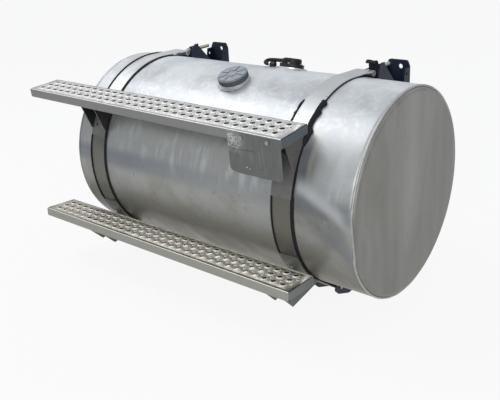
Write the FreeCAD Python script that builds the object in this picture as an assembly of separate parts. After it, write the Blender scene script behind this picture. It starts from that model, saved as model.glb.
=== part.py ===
"""Round aluminium truck fuel tank in two J brackets, with steel straps and two grip steps.

Every piece is drawn in the tank's own frame: the origin in the middle of the tank's axis, +X along
the axis to the right head, +Y towards the truck's frame rail and +Z up. Angles round the axis are
counted from +Y towards +Z, so 90 is the top of the tank and 180 its front. The finished pieces are
then moved so that the origin lies under the middle of the assembly, on the surface it stands on.
"""
import FreeCAD, Part
import math
import os

from FreeCAD import Vector

# Clearances, and how near two numbers must be to count as the same
FIT = 0.3
RUNNING = 0.05
HOLE_CLEARANCE = 0.4
SAME = 0.01

# Tank body
TANK_R = 330.0
TANK_LEN = 1176.0
SHELL_T = 3.2
HEAD_T = 4.8
KNUCKLE_R = 16.0
SKIRT_LEN = 24.0
SHELL_LAP = 4.0
BEAD_W = 7.0
BEAD_CROWN = 1.6
WALL_REACH = 50.0

# Baffles inside the tank
BAFFLE_X = 235.0
BAFFLE_T = 2.5
BAFFLE_FLANGE = 20.0
BAFFLE_HOLE_R = 52.0
BAFFLE_HOLE_PITCH_R = 175.0
BAFFLE_HOLES = 4
BAFFLE_NOTCH_R = 24.0

# Filler neck, seal and cap, along a radial line at FILLER_ANGLE
FILLER_X = 9.0
FILLER_ANGLE = 109.9
NECK_BORE_R = 40.0
NECK_THREAD_R = 44.8
NECK_COLLAR_R = 49.4
NECK_DEPTH = 14.0
NECK_COLLAR_H = 9.0
NECK_H = 23.0
SEAL_T = 2.6
SEAL_GAP = 0.2
CAP_R = 50.4
CAP_THREAD_GAP = 0.6
CAP_SKIRT_GAP = 1.6
CAP_TOP_T = 2.2
CAP_PAD_H = 1.6
CAP_PADS = 8
CAP_PAD_GAP = 4.0
CAP_HUB_R = 15.0
CAP_RIM_W = 4.0
CAP_GRIPS = 30
CAP_GRIP_W = 4.6
CAP_GRIP_DEPTH = 1.2
CAP_CHAMFER = 1.6

# Level sender on the top, just behind the crown
SENDER_X = 89.0
SENDER_ANGLE = 74.0
BOSS_R = 50.0
BOSS_BORE_R = 27.0
BOSS_DEPTH = 10.0
BOSS_H = 4.0
GASKET_T = 2.0
COVER_R = 41.5
COVER_BASE_H = 10.0
COVER_TOWER_R = 30.0
COVER_TOWER_H = 19.0
COVER_CORNER = 2.0
COVER_RIBS = 16
COVER_RIB_W = 4.0
COVER_RIB_OUT = 1.2
PORT_R = 8.0
PORT_LEN = 12.0
PORT_LIFT = 0.6
SENDER_SCREWS = 5
SCREW_CIRCLE_R = 36.3
SCREW_R = 2.5
SCREW_HEAD_R = 4.5
SCREW_HEAD_H = 3.2
SCREW_HOLE_DEPTH = 4.0
SCREW_END_GAP = 1.0
STEM_R = 6.0
STEM_SHORT = 23.0
PIVOT_FROM_END = 7.0
PIVOT_PIN_R = 2.5
PIVOT_PIN_LEN = 14.0
PIVOT_PIN_ROOT = 2.0
FLOAT_HUB_R = 6.0
FLOAT_HUB_LEN = 9.0
FLOAT_WIRE_R = 1.6
FLOAT_ARM_SHORT = 30.0
FLOAT_DROP = 72.0
FLOAT_R = 21.0
FLOAT_LEN = 58.0

# Loom from the sender, a corrugated sleeve that doubles back beside the cover
LOOM_R = 6.5
LOOM_OUT = 52.0
LOOM_FAR = 9.0
LOOM_FRONT = 26.0
LOOM_LIE = 8.2
LOOM_RETURN = 25.0
BEND_SHARE = 0.45
PLUG_R = 8.5
PLUG_LEN = 18.0
PLUG_KEY_W = 10.0
PLUG_KEY_H = 2.0

# Draw and return ports, behind the crown, with their tubes inside
PORT_Y = 200.0
DRAW_PORT_X = -60.0
RETURN_PORT_X = -125.0
FITTING_R = 15.0
FITTING_H = 17.0
FITTING_DEPTH = 16.0
FITTING_THREAD_R = 8.0
FITTING_THREAD_LEN = 16.0
TUBE_R = 7.0
TUBE_T = 1.2
DRAW_TUBE_GAP = 56.0
RETURN_TUBE_LEN = 180.0

# Drain at the bottom
DRAIN_X = 60.0
DRAIN_BOSS_R = 21.0
DRAIN_BOSS_H = 6.0
DRAIN_BOSS_DEPTH = 10.0
DRAIN_BORE_R = 9.5
DRAIN_HEX = 22.0
DRAIN_HEAD_H = 8.0

# Straps and their rubber liners
STRAP_LEFT_X = -465.0
STRAP_RIGHT_X = 349.0
STRAP_W = 64.0
STRAP_T = 2.5
LINER_W = 76.0
LINER_T = 3.0
LINER_TOP_ANGLE = 70.0
LINER_END_ANGLE = 238.0
LAP_LEN = 42.0
PIN_R = 7.0
PIN_LEN = 62.0
TOP_PIN_Y = 133.0
TOP_PIN_OUT = 18.4
ANCHOR_ANGLE = 256.0
ANCHOR_OUT = 22.0
BOLT_R = 6.35
BOLT_LEN = 151.0
BOLT_SLOT_W = 15.0
ANCHOR_STAND_OUT = 4.0
ANCHOR_HEAD_R = 10.0
ANCHOR_HEAD_T = 3.0
COTTER_R = 1.6
COTTER_FROM_END = 2.0
WASHER_R = 14.0
WASHER_T = 3.0
NUT_AF = 20.0
NUT_H = 11.0
CURL_BACK = 18.0
CURL_RISE = 27.0
CURL_LEFT = 1.0
CURL_W = 34.0
CURL_R = 12.0
CURL_SWEEP = 155.0
LINER_HOLE_GAP = 2.0

# J brackets
SADDLE_T = 6.0
PAD_T = 5.0
BRACKET_W = 86.0
WEB_T = 6.0
SADDLE_TOP_ANGLE = 60.0
SADDLE_END_ANGLE = -100.0
PAD_INSET_ANGLE = 1.0
HORN_FOOT_ANGLE = 65.5
SHOULDER_BACK = 17.0
SHOULDER_RISE = 16.0
APEX_BACK = 39.0
APEX_RISE = 30.0
FAR_SHOULDER_RISE = -11.0
FAR_APEX_RISE = -5.0
HORN_CORNER_R = 6.0
NOTCH_IN = 50.0
NOTCH_DROP = 108.0
NOTCH_R = 12.0
WALL_BACK = 45.0
HORN_WALL_T = 7.0
WALL_RISE_NEAR = 28.0
WALL_RISE_FAR = -6.0
WALL_DROP = 44.0
RAIL_GAP = 26.0
UPRIGHT_T = 8.0
UPRIGHT_W = 86.0
UPRIGHT_TOP_DROP = 8.0
UPRIGHT_TOP_W = 68.0
SHOULDER_DROP = 20.0
UPRIGHT_CORNER_R = 8.0
UPRIGHT_END_Z = -180.0
FLANGE_D = 38.0
FLANGE_T = 6.0
FLANGE_TOP_DROP = 22.0
FLANGE_TOP_CUT = 12.0
FLANGE_TAPER_DROP = 60.0
FLANGE_WIDE_D = 76.0
FLANGE_WIDE_DROP = 161.0
FLANGE_TANK_GAP = 8.0
FLANGE_HOLE_R = 5.5
FLANGE_HOLE_DROP = 20.0
FLANGE_HOLE_IN = 17.0
FOOT_BELOW = 58.0
HEEL_R = 44.0
TOE_FLAT_Y = -36.0
TOE_LOW_Y = -96.0
TOE_LOW_BELOW = 34.0
TOE_HIGH_Y = -114.0
TOE_HIGH_BELOW = 16.0
TOE_ANGLE = -108.5
TOE_CORNER_R = 10.0

# Holes for the rail bolts
RAIL_HOLE_R = 8.5
TOP_HOLE_X = 10.0
TOP_HOLE_DROP = 22.0
RAIL_HOLES_X = 44.0
RAIL_HOLES_Z = 90.0
RAIL_HOLES_MID_Z = 105.0

# Grip steps, two alike
STEP_LEN = 1134.0
STEP_D = 126.0
STEP_H = 31.0
STEP_T = 2.5
STEP_LIP = 12.0
UPPER_STEP_X = -742.0
UPPER_STEP_OUT = 51.5
UPPER_STEP_ANGLE = 51.75
UPPER_STEP_TILT = 0.51
UPPER_STEP_PITCH = 4.2
LOWER_STEP_X = -704.0
LOWER_STEP_OUT = 93.0
LOWER_STEP_ANGLE = 34.3
LOWER_STEP_PITCH = -3.0
GRIP_ROWS = 3
GRIP_COLUMNS = 31
GRIP_ROW_PITCH = 33.3
GRIP_END = 40.0
GRIP_R = 8.5
GRIP_SIDES = 8
SMALL_GRIP_R = 3.6
SMALL_GRIP_SIDES = 6

# Step brackets
STEP_BRACKET_W = 71.0
STEP_BRACKET_T = 3.5
UPPER_CLAMP_START = 142.0
UPPER_CLAMP_ENDS = {"left": 161.0, "right": 170.5}
LOWER_CLAMP_START = 205.0
LOWER_CLAMP_END = 232.0
UPPER_TIP_OUT = 13.6
UPPER_TIP_ANGLE = 156.9
UPPER_WEB_FRONT = 9.0
UPPER_WEB_BACK = 30.0
UPPER_WEB_RISE = 14.0
WEB_BITE = 2.0
LOWER_KNEE_IN = 18.0
LOWER_KNEE_DROP = 8.0
LOWER_TIP_IN = 83.0
LOWER_TIP_DROP = 75.0
STUD_SHIFT = -14.0
UPPER_STUD_ANGLE = 150.0
UPPER_SPARE_ANGLE = 154.5
LOWER_STUD_ANGLE = 216.0
STUD_R = 4.0
STUD_HEAD_R = 7.5
STUD_HEAD_H = 5.0
STUD_REACH = 3.0

# Plate screwed to the front of the upper step
PLATE_LEN = 190.0
PLATE_DROP = 122.0
PLATE_T = 2.0
PLATE_TOP_GAP = 4.0
PLATE_CORNER_R = 5.0
PLATE_SCREW_X = (52.0, 145.0)
PLATE_SCREW_DROP = 14.0
PLATE_SCREW_R = 3.0
PLATE_SCREW_HEAD_R = 6.0
PLATE_SCREW_HEAD_H = 3.5
PLATE_HOLE_X = (69.0, 120.0)
PLATE_HOLE_DROP = 101.0
PLATE_HOLE_R = 2.2

# Values that follow
HALF_LEN = TANK_LEN / 2
SHELL_END = HALF_LEN - KNUCKLE_R + SHELL_LAP
INNER_R = TANK_R - SHELL_T
LINER_IN = TANK_R + FIT
STRAP_IN = LINER_IN + LINER_T + FIT
STRAP_OUT = STRAP_IN + STRAP_T
PAD_IN = TANK_R + FIT
STEM_LEN = TANK_R - STEM_SHORT
FLOAT_ARM = TANK_R - FLOAT_ARM_SHORT
SADDLE_IN = PAD_IN + PAD_T + FIT
SADDLE_OUT = SADDLE_IN + SADDLE_T
CLAMP_IN = STRAP_OUT + FIT
CLAMP_OUT = CLAMP_IN + STEP_BRACKET_T
LOOP_R = PIN_R + FIT + STRAP_T
RAIL_Y = TANK_R + RAIL_GAP
UPRIGHT_Y = RAIL_Y - UPRIGHT_T
UPRIGHT_TOP_Z = TANK_R - UPRIGHT_TOP_DROP
FOOT_Z = -TANK_R - FOOT_BELOW
TOP_PIN_Z = math.sqrt((TANK_R + TOP_PIN_OUT) ** 2 - TOP_PIN_Y ** 2)
CURL_Y = TOP_PIN_Y + CURL_BACK
CURL_TOP_Z = TOP_PIN_Z + CURL_RISE
HORN_WALL_Y = TOP_PIN_Y + WALL_BACK
NOTCH = (RAIL_Y - NOTCH_IN, UPRIGHT_TOP_Z - NOTCH_DROP)
TOE_POINTS = ((TOE_LOW_Y, -TANK_R - TOE_LOW_BELOW), (TOE_HIGH_Y, -TANK_R - TOE_HIGH_BELOW))
UPPER_STEP_Y = -TANK_R - UPPER_STEP_OUT
UPPER_STEP_Z = TANK_R * math.sin(math.radians(UPPER_STEP_ANGLE))
LOWER_STEP_Y = -TANK_R - LOWER_STEP_OUT
LOWER_STEP_Z = -TANK_R * math.sin(math.radians(LOWER_STEP_ANGLE))
UPPER_STEP_LEFT = UPPER_STEP_X - STRAP_LEFT_X
LOWER_STEP_LEFT = LOWER_STEP_X - STRAP_LEFT_X
STRAPS = {"left": STRAP_LEFT_X, "right": STRAP_RIGHT_X}
GRIP_PITCH = (STEP_LEN - 2 * GRIP_END) / (GRIP_COLUMNS - 1)
CAP_CEILING = NECK_H + SEAL_T + 2 * SEAL_GAP
CAP_BOTTOM = NECK_COLLAR_H + CAP_SKIRT_GAP
COVER_BASE = BOSS_H + GASKET_T
COVER_SHELF = COVER_BASE + COVER_BASE_H
SKIRT_R = INNER_R - FIT
BEND_X = HALF_LEN - KNUCKLE_R
BEND_R = SKIRT_R - KNUCKLE_R

# The assembly's own origin: below the middle of the box round it, which the tilted upper step's end reaches
STEP_TURN = math.radians(UPPER_STEP_TILT)
UPPER_STEP_REACH = STEP_H * math.sin(STEP_TURN) - UPPER_STEP_LEFT * math.cos(STEP_TURN)
BOX_LOW_X = min(STRAP_LEFT_X - UPPER_STEP_REACH, LOWER_STEP_X, -HALF_LEN)
BOX_HIGH_X = max(HALF_LEN, UPPER_STEP_X + STEP_LEN, LOWER_STEP_X + STEP_LEN)
APRON_LEAN = STEP_H * math.sin(math.radians(-LOWER_STEP_PITCH))
BOX_LOW_Y = min(UPPER_STEP_Y - PLATE_T - PLATE_SCREW_HEAD_H, LOWER_STEP_Y - APRON_LEAN)
ORIGIN = Vector((BOX_LOW_X + BOX_HIGH_X) / 2, (BOX_LOW_Y + RAIL_Y) / 2, FOOT_Z)

X_AXIS = Vector(1, 0, 0)
Y_AXIS = Vector(0, 1, 0)
Z_AXIS = Vector(0, 0, 1)
CENTRE = Vector(0, 0, 0)


def polar(radius, angle, x=0.0):
    """Point at a radius and angle round the tank's axis."""
    turn = math.radians(angle)
    return Vector(x, radius * math.cos(turn), radius * math.sin(turn))


def rod(radius, length, start, direction):
    """Solid cylinder."""
    return Part.makeCylinder(radius, length, start, direction)


def ring(outer, inner, length, start, direction):
    """Cylinder with a round hole along it."""
    return rod(outer, length, start, direction).cut(rod(inner, length, start, direction))


def block(size, corner):
    """Box with its low corner at a point."""
    return Part.makeBox(size[0], size[1], size[2], Vector(*corner))


def fuse_all(shapes):
    """One solid from several that meet."""
    return shapes[0].fuse(shapes[1:]).removeSplitter()


def polygon(points):
    """Flat face from its corner points."""
    return Part.Face(Part.makePolygon(list(points) + [points[0]]))


def side_face(points):
    """Face in the plane x = 0 from pairs of y and z."""
    return polygon([Vector(0, y, z) for y, z in points])


def plate_in_x(face, width, middle=0.0):
    """Plate made from a side face, centred on x = middle."""
    return face.extrude(Vector(width, 0, 0)).translated(Vector(middle - width / 2, 0, 0))


def arc_band(inner, outer, start, end, width, middle=0.0):
    """Band that bends round the tank's axis from one angle to another."""
    low = Vector(middle - width / 2, 0, 0)
    sweep = end - start
    profile = polygon([
        low + Vector(0, inner, 0),
        low + Vector(0, outer, 0),
        low + Vector(width, outer, 0),
        low + Vector(width, inner, 0),
    ])
    turned = profile.rotated(CENTRE, X_AXIS, start)
    return turned.revolve(CENTRE, X_AXIS, sweep)


def radial_frame(x, angle):
    """Placement with its origin on the tank's wall and its Z axis pointing straight out."""
    turn = FreeCAD.Rotation(X_AXIS, angle - 90.0)
    return FreeCAD.Placement(polar(TANK_R, angle, x), turn)


def placed(shape, placement):
    """Copy of a shape carried into a placement."""
    moved = shape.copy()
    moved.Placement = placement.multiply(moved.Placement)
    return moved


def hexagon(across, height, start):
    """Hexagonal prism along Z, by its distance across flats."""
    corner = across / math.sqrt(3)
    points = []
    for number in range(6):
        turn = math.radians(60 * number)
        points.append(start + Vector(corner * math.cos(turn), corner * math.sin(turn), 0))
    return polygon(points).extrude(Vector(0, 0, height))


def polar_copies(shape, count, axis=Z_AXIS):
    """The same shape repeated evenly round an axis through the origin."""
    return [shape.rotated(CENTRE, axis, 360.0 * number / count) for number in range(count)]


def edges_along_y(shape, low, high):
    """Edges of a plate that run along Y, between two heights."""
    found = []
    for edge in shape.Edges:
        box = edge.BoundBox
        straight = box.XLength < SAME and box.ZLength < SAME
        if straight and low - SAME < box.ZMin < high + SAME:
            found.append(edge)
    return found


def wall_hole(radius, x, angle):
    """Round cutter that stands through the tank's wall."""
    cutter = rod(radius, 2 * WALL_REACH, Vector(0, 0, -WALL_REACH), Z_AXIS)
    return placed(cutter, radial_frame(x, angle))


def tank_shell():
    """Rolled wrapper with its holes for the neck, sender, ports and drain."""
    wrapper = ring(TANK_R, INNER_R, 2 * SHELL_END, Vector(-SHELL_END, 0, 0), X_AXIS)
    holes = [
        wall_hole(NECK_COLLAR_R + FIT, FILLER_X, FILLER_ANGLE),
        wall_hole(BOSS_R + FIT, SENDER_X, SENDER_ANGLE),
        rod(FITTING_R + FIT, TANK_R, Vector(DRAW_PORT_X, PORT_Y, 0), Z_AXIS),
        rod(FITTING_R + FIT, TANK_R, Vector(RETURN_PORT_X, PORT_Y, 0), Z_AXIS),
        rod(DRAIN_BOSS_R + FIT, TANK_R + DRAIN_BOSS_H, Vector(DRAIN_X, 0, 0), -Z_AXIS),
    ]
    return wrapper.cut(Part.makeCompound(holes))


def bend_point(radius, turn):
    """Point on the head's bend, turned from the skirt towards the face."""
    return Vector(BEND_X + radius * math.sin(turn), 0, BEND_R + radius * math.cos(turn))


def head():
    """Flanged right head: skirt inside the wrapper, bend, flat face and the weld bead."""
    quarter = math.pi / 2
    lap_turn = math.asin(SHELL_LAP / KNUCKLE_R)
    bead_turn = math.asin((SHELL_LAP + BEAD_W) / KNUCKLE_R)
    inner_bend = KNUCKLE_R - HEAD_T
    bead_foot = bend_point(KNUCKLE_R, bead_turn)
    bead_top = Vector(SHELL_END, 0, TANK_R)
    bead_mid = (bead_top + bead_foot) * 0.5 + Vector(BEAD_CROWN, 0, BEAD_CROWN)
    shell_foot = bend_point(KNUCKLE_R, lap_turn)
    face_rim = bend_point(KNUCKLE_R, quarter)
    back_rim = bend_point(inner_bend, quarter)
    skirt_start = bend_point(KNUCKLE_R, 0)
    skirt_inside = bend_point(inner_bend, 0)
    skirt_end = skirt_start - Vector(SKIRT_LEN, 0, 0)
    skirt_end_inside = skirt_inside - Vector(SKIRT_LEN, 0, 0)
    face_middle = Vector(HALF_LEN, 0, 0)
    back_middle = Vector(HALF_LEN - HEAD_T, 0, 0)
    edges = [
        Part.makeLine(face_middle, face_rim),
        Part.Arc(face_rim, bend_point(KNUCKLE_R, (quarter + bead_turn) / 2), bead_foot).toShape(),
        Part.makeLine(bead_foot, bead_mid),
        Part.makeLine(bead_mid, bead_top),
        Part.makeLine(bead_top, shell_foot),
        Part.Arc(shell_foot, bend_point(KNUCKLE_R, lap_turn / 2), skirt_start).toShape(),
        Part.makeLine(skirt_start, skirt_end),
        Part.makeLine(skirt_end, skirt_end_inside),
        Part.makeLine(skirt_end_inside, skirt_inside),
        Part.Arc(skirt_inside, bend_point(inner_bend, quarter / 2), back_rim).toShape(),
        Part.makeLine(back_rim, back_middle),
        Part.makeLine(back_middle, face_middle),
    ]
    return Part.Face(Part.Wire(edges)).revolve(CENTRE, X_AXIS, 360)


def baffle():
    """Surge baffle: a flanged disc with round openings and notches at the top and bottom."""
    rim = SKIRT_R
    disc = rod(rim, BAFFLE_T, Vector(0, 0, 0), X_AXIS)
    flange = ring(rim, rim - BAFFLE_T, BAFFLE_FLANGE, Vector(0, 0, 0), X_AXIS)
    reach = BAFFLE_FLANGE + 2 * BAFFLE_T
    opening = rod(BAFFLE_HOLE_R, reach, Vector(-BAFFLE_T, 0, BAFFLE_HOLE_PITCH_R), X_AXIS)
    cuts = polar_copies(opening.rotated(CENTRE, X_AXIS, 45), BAFFLE_HOLES, X_AXIS)
    for sign in (1, -1):
        cuts.append(rod(BAFFLE_NOTCH_R, reach, Vector(-BAFFLE_T, 0, sign * rim), X_AXIS))
    return disc.fuse(flange).cut(Part.makeCompound(cuts)).removeSplitter()


def filler_neck():
    """Neck with a collar welded into the wrapper and a threaded spigot above it."""
    collar = rod(NECK_COLLAR_R, NECK_DEPTH + NECK_COLLAR_H, Vector(0, 0, -NECK_DEPTH), Z_AXIS)
    spigot = rod(NECK_THREAD_R, NECK_H, CENTRE, Z_AXIS)
    bore = rod(NECK_BORE_R, NECK_DEPTH + NECK_H, Vector(0, 0, -NECK_DEPTH), Z_AXIS)
    neck = collar.fuse(spigot).cut(bore).removeSplitter()
    return placed(neck, radial_frame(FILLER_X, FILLER_ANGLE))


def cap_seal():
    """Flat ring between the neck's rim and the cap."""
    seal = ring(NECK_THREAD_R, NECK_BORE_R, SEAL_T, Vector(0, 0, NECK_H + SEAL_GAP), Z_AXIS)
    return placed(seal, radial_frame(FILLER_X, FILLER_ANGLE))


def cap_pads():
    """Raised sectors on the cap's face, set between its hub and its rim."""
    low = CAP_CEILING + CAP_TOP_T
    outer = CAP_R - CAP_RIM_W
    hub = rod(CAP_HUB_R, CAP_PAD_H, Vector(0, 0, low), Z_AXIS)
    field = ring(outer, CAP_HUB_R + CAP_PAD_GAP, CAP_PAD_H, Vector(0, 0, low), Z_AXIS)
    slot = block((outer * 2, CAP_PAD_GAP, CAP_PAD_H), (0, -CAP_PAD_GAP / 2, low))
    return [hub] + field.cut(Part.makeCompound(polar_copies(slot, CAP_PADS))).Solids


def on_level(edge, height):
    """Whether an edge lies flat at a height."""
    box = edge.BoundBox
    return box.ZLength < SAME and abs(box.ZMin - height) < SAME


def fuel_cap():
    """Screw cap with a gripped skirt and a raised pattern on its face."""
    top = CAP_CEILING + CAP_TOP_T
    body = rod(CAP_R, top - CAP_BOTTOM, Vector(0, 0, CAP_BOTTOM), Z_AXIS)
    rim = [edge for edge in body.Edges if on_level(edge, top) and edge.isClosed()]
    body = body.makeChamfer(CAP_CHAMFER, rim)
    hollow = rod(NECK_THREAD_R + CAP_THREAD_GAP, CAP_CEILING - CAP_BOTTOM, Vector(0, 0, CAP_BOTTOM), Z_AXIS)
    grip_h = top - CAP_CHAMFER - CAP_BOTTOM
    notch = block(
        (2 * CAP_GRIP_DEPTH, CAP_GRIP_W, grip_h),
        (CAP_R - CAP_GRIP_DEPTH, -CAP_GRIP_W / 2, CAP_BOTTOM),
    )
    body = body.cut(hollow).cut(Part.makeCompound(polar_copies(notch, CAP_GRIPS)))
    return placed(fuse_all([body] + cap_pads()), radial_frame(FILLER_X, FILLER_ANGLE))


def in_sender(shape):
    """Carry a shape to the level sender's place."""
    return placed(shape, radial_frame(SENDER_X, SENDER_ANGLE))


def sender_boss():
    """Round pad welded into the wrapper, with tapped holes for the sender's screws."""
    pad = ring(BOSS_R, BOSS_BORE_R, BOSS_DEPTH + BOSS_H, Vector(0, 0, -BOSS_DEPTH), Z_AXIS)
    return in_sender(pad.cut(Part.makeCompound(screw_shanks(SCREW_R + RUNNING, 0))))


def screw_shanks(radius, end_gap):
    """Shanks of the sender's screws, from the cover's shelf down into the boss."""
    reach = COVER_SHELF + SCREW_HOLE_DEPTH - end_gap
    shank = rod(radius, reach, Vector(SCREW_CIRCLE_R, 0, COVER_SHELF - reach), Z_AXIS)
    return polar_copies(shank, SENDER_SCREWS)


def sender_gasket():
    """Rubber ring under the sender's cover."""
    gasket = ring(COVER_R, BOSS_BORE_R, GASKET_T, Vector(0, 0, BOSS_H), Z_AXIS)
    return in_sender(gasket.cut(Part.makeCompound(screw_shanks(SCREW_R + HOLE_CLEARANCE, 0))))


def sender_cover():
    """Black stepped cover with the loom's port on its left."""
    base = rod(COVER_R, COVER_BASE_H, Vector(0, 0, COVER_BASE), Z_AXIS)
    tower = rod(COVER_TOWER_R, COVER_TOWER_H, Vector(0, 0, COVER_SHELF), Z_AXIS)
    top = COVER_SHELF + COVER_TOWER_H
    tower = tower.makeChamfer(COVER_CORNER, [edge for edge in tower.Edges if on_level(edge, top)])
    rib = block(
        (2 * COVER_RIB_OUT, COVER_RIB_W, COVER_TOWER_H - 2 * COVER_CORNER),
        (COVER_TOWER_R - COVER_RIB_OUT, -COVER_RIB_W / 2, COVER_SHELF),
    )
    ribs = polar_copies(rib.rotated(CENTRE, Z_AXIS, 180 / COVER_RIBS), COVER_RIBS)
    port_len = PORT_LEN + COVER_TOWER_R / 2
    port = rod(PORT_R, port_len, Vector(-COVER_TOWER_R / 2, 0, loom_height()), -X_AXIS)
    cover = fuse_all([base, tower, port] + ribs)
    return in_sender(cover.cut(Part.makeCompound(screw_shanks(SCREW_R + HOLE_CLEARANCE, 0))))


def loom_height():
    """Height of the loom's middle above the wall at the sender."""
    return COVER_SHELF + PORT_LIFT + PORT_R


def sender_screws():
    """Five screws that hold the cover."""
    screws = []
    head_disc = rod(SCREW_HEAD_R, SCREW_HEAD_H, Vector(SCREW_CIRCLE_R, 0, COVER_SHELF), Z_AXIS)
    for shank, top in zip(screw_shanks(SCREW_R, SCREW_END_GAP), polar_copies(head_disc, SENDER_SCREWS)):
        screws.append(in_sender(shank.fuse(top).removeSplitter()))
    return Part.makeCompound(screws)


def pivot_depth():
    """Depth of the float's pivot below the wall at the sender."""
    return STEM_LEN - PIVOT_FROM_END


def sender_stem():
    """Stem that hangs from the cover and carries the float's pivot pin."""
    stem = rod(STEM_R, STEM_LEN + COVER_BASE, Vector(0, 0, -STEM_LEN), Z_AXIS)
    pin = rod(PIVOT_PIN_R, PIVOT_PIN_LEN, Vector(0, 0, -pivot_depth()), Y_AXIS)
    pin = pin.translated(Vector(0, STEM_R - PIVOT_PIN_ROOT, 0))
    return in_sender(stem.fuse(pin).removeSplitter())


def float_direction():
    """Direction of the float's arm at rest, in the sender's frame."""
    drop = math.radians(FLOAT_DROP)
    return Vector(-math.cos(drop), 0, -math.sin(drop))


def float_pivot():
    """Middle of the float's hub, in the sender's frame."""
    return Vector(0, STEM_R + RUNNING + FLOAT_HUB_LEN / 2, -pivot_depth())


def float_arm():
    """Wire arm with a hub that turns on the stem's pin."""
    pivot = float_pivot()
    hub_start = pivot - Vector(0, FLOAT_HUB_LEN / 2, 0)
    wire = rod(FLOAT_WIRE_R, FLOAT_ARM, pivot, float_direction())
    hub = rod(FLOAT_HUB_R, FLOAT_HUB_LEN, hub_start, Y_AXIS)
    bore = rod(PIVOT_PIN_R + RUNNING, FLOAT_HUB_LEN, hub_start, Y_AXIS)
    return in_sender(hub.fuse(wire).cut(bore).removeSplitter())


def sender_float():
    """Float at the end of its arm, on the wire's last stretch."""
    middle = float_pivot() + float_direction() * (FLOAT_ARM - FLOAT_R)
    drum = rod(FLOAT_R, FLOAT_LEN, middle - Vector(0, FLOAT_LEN / 2, 0), Y_AXIS)
    wire = rod(FLOAT_WIRE_R + RUNNING, FLOAT_ARM, float_pivot(), float_direction())
    return in_sender(drum.cut(wire))


def loom_points():
    """Corners of the loom's route: straight out, then down towards the front and back along the wall."""
    start = Vector(-COVER_TOWER_R - PORT_LEN, 0, loom_height())
    turn_x = start.x - LOOM_OUT
    return [
        start,
        Vector(turn_x, 0, start.z),
        Vector(turn_x - LOOM_FAR, -LOOM_FRONT / 2, (start.z + LOOM_LIE) / 2),
        Vector(turn_x, -LOOM_FRONT, LOOM_LIE),
        Vector(turn_x + LOOM_RETURN, -LOOM_FRONT, LOOM_LIE),
    ]


def rounded_route(points):
    """Straight runs joined by tangent arcs, each as large as its two runs allow."""
    edges = []
    last = points[0]
    for before, corner, after in zip(points, points[1:], points[2:]):
        back = before - corner
        ahead = after - corner
        cut = BEND_SHARE * min(back.Length, ahead.Length)
        back.normalize()
        ahead.normalize()
        inward = back + ahead
        inward.normalize()
        half = back.getAngle(ahead) / 2
        radius = cut * math.tan(half)
        arc_middle = corner + inward * (radius / math.sin(half) - radius)
        edges.append(Part.makeLine(last, corner + back * cut))
        edges.append(Part.Arc(corner + back * cut, arc_middle, corner + ahead * cut).toShape())
        last = corner + ahead * cut
    edges.append(Part.makeLine(last, points[-1]))
    return Part.Wire(edges)


def loom_sleeve():
    """Corrugated sleeve, as a plain tube of its outer diameter."""
    points = loom_points()
    profile = Part.Wire([Part.makeCircle(LOOM_R, points[0], X_AXIS)])
    return in_sender(rounded_route(points).makePipeShell([profile], True, False))


def loom_plug():
    """Connector at the loom's end, lying on the wall."""
    end = loom_points()[-1]
    body = rod(PLUG_R, PLUG_LEN, end, X_AXIS)
    key = block((PLUG_LEN, PLUG_KEY_W, PLUG_R + PLUG_KEY_H), (end.x, end.y - PLUG_KEY_W / 2, end.z))
    return in_sender(body.fuse(key).removeSplitter())


def port_z():
    """Height of the wall at the two ports."""
    return math.sqrt(TANK_R ** 2 - PORT_Y ** 2)


def port_fitting(x):
    """Threaded bung with a hexagon top, welded into the wrapper."""
    low = port_z() - FITTING_DEPTH
    top = port_z() + FITTING_H
    body = rod(FITTING_R, top - low, Vector(x, PORT_Y, low), Z_AXIS)
    thread = rod(FITTING_THREAD_R, FITTING_THREAD_LEN, Vector(x, PORT_Y, top - FITTING_THREAD_LEN), Z_AXIS)
    seat = rod(TUBE_R + RUNNING, top - low, Vector(x, PORT_Y, low), Z_AXIS)
    return body.cut(thread).cut(seat)


def port_tube(x, length):
    """Tube that hangs inside the tank from a port."""
    top = port_z() + FITTING_H - FITTING_THREAD_LEN
    return ring(TUBE_R, TUBE_R - TUBE_T, length, Vector(x, PORT_Y, top - length), Z_AXIS)


def draw_tube_len():
    """Length that ends the draw tube a little above the tank's bottom."""
    return 2 * port_z() + FITTING_H - FITTING_THREAD_LEN - DRAW_TUBE_GAP


def drain_boss():
    """Round boss welded into the bottom of the wrapper."""
    start = Vector(DRAIN_X, 0, -TANK_R - DRAIN_BOSS_H)
    return ring(DRAIN_BOSS_R, DRAIN_BORE_R, DRAIN_BOSS_H + DRAIN_BOSS_DEPTH, start, Z_AXIS)


def drain_plug():
    """Hexagon plug screwed into the drain boss."""
    face_z = -TANK_R - DRAIN_BOSS_H
    shank_len = DRAIN_BOSS_H + DRAIN_BOSS_DEPTH
    shank = rod(DRAIN_BORE_R - RUNNING, shank_len, Vector(DRAIN_X, 0, face_z), Z_AXIS)
    top = hexagon(DRAIN_HEX, DRAIN_HEAD_H, Vector(DRAIN_X, 0, face_z - DRAIN_HEAD_H))
    return shank.fuse(top).removeSplitter()


def tangent_angle(pin, side):
    """Angle at which the strap leaves the tank to reach a loop, on one side of it."""
    reach = math.hypot(pin.y, pin.z)
    turn = math.degrees(math.acos((STRAP_OUT - LOOP_R) / reach))
    return math.degrees(math.atan2(pin.z, pin.y)) + side * turn


def top_pin():
    """Middle of the strap's upper loop."""
    return Vector(0, TOP_PIN_Y, TOP_PIN_Z)


def anchor_pin():
    """Middle of the strap's lower loop."""
    return polar(TANK_R + ANCHOR_OUT, ANCHOR_ANGLE)


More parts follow.
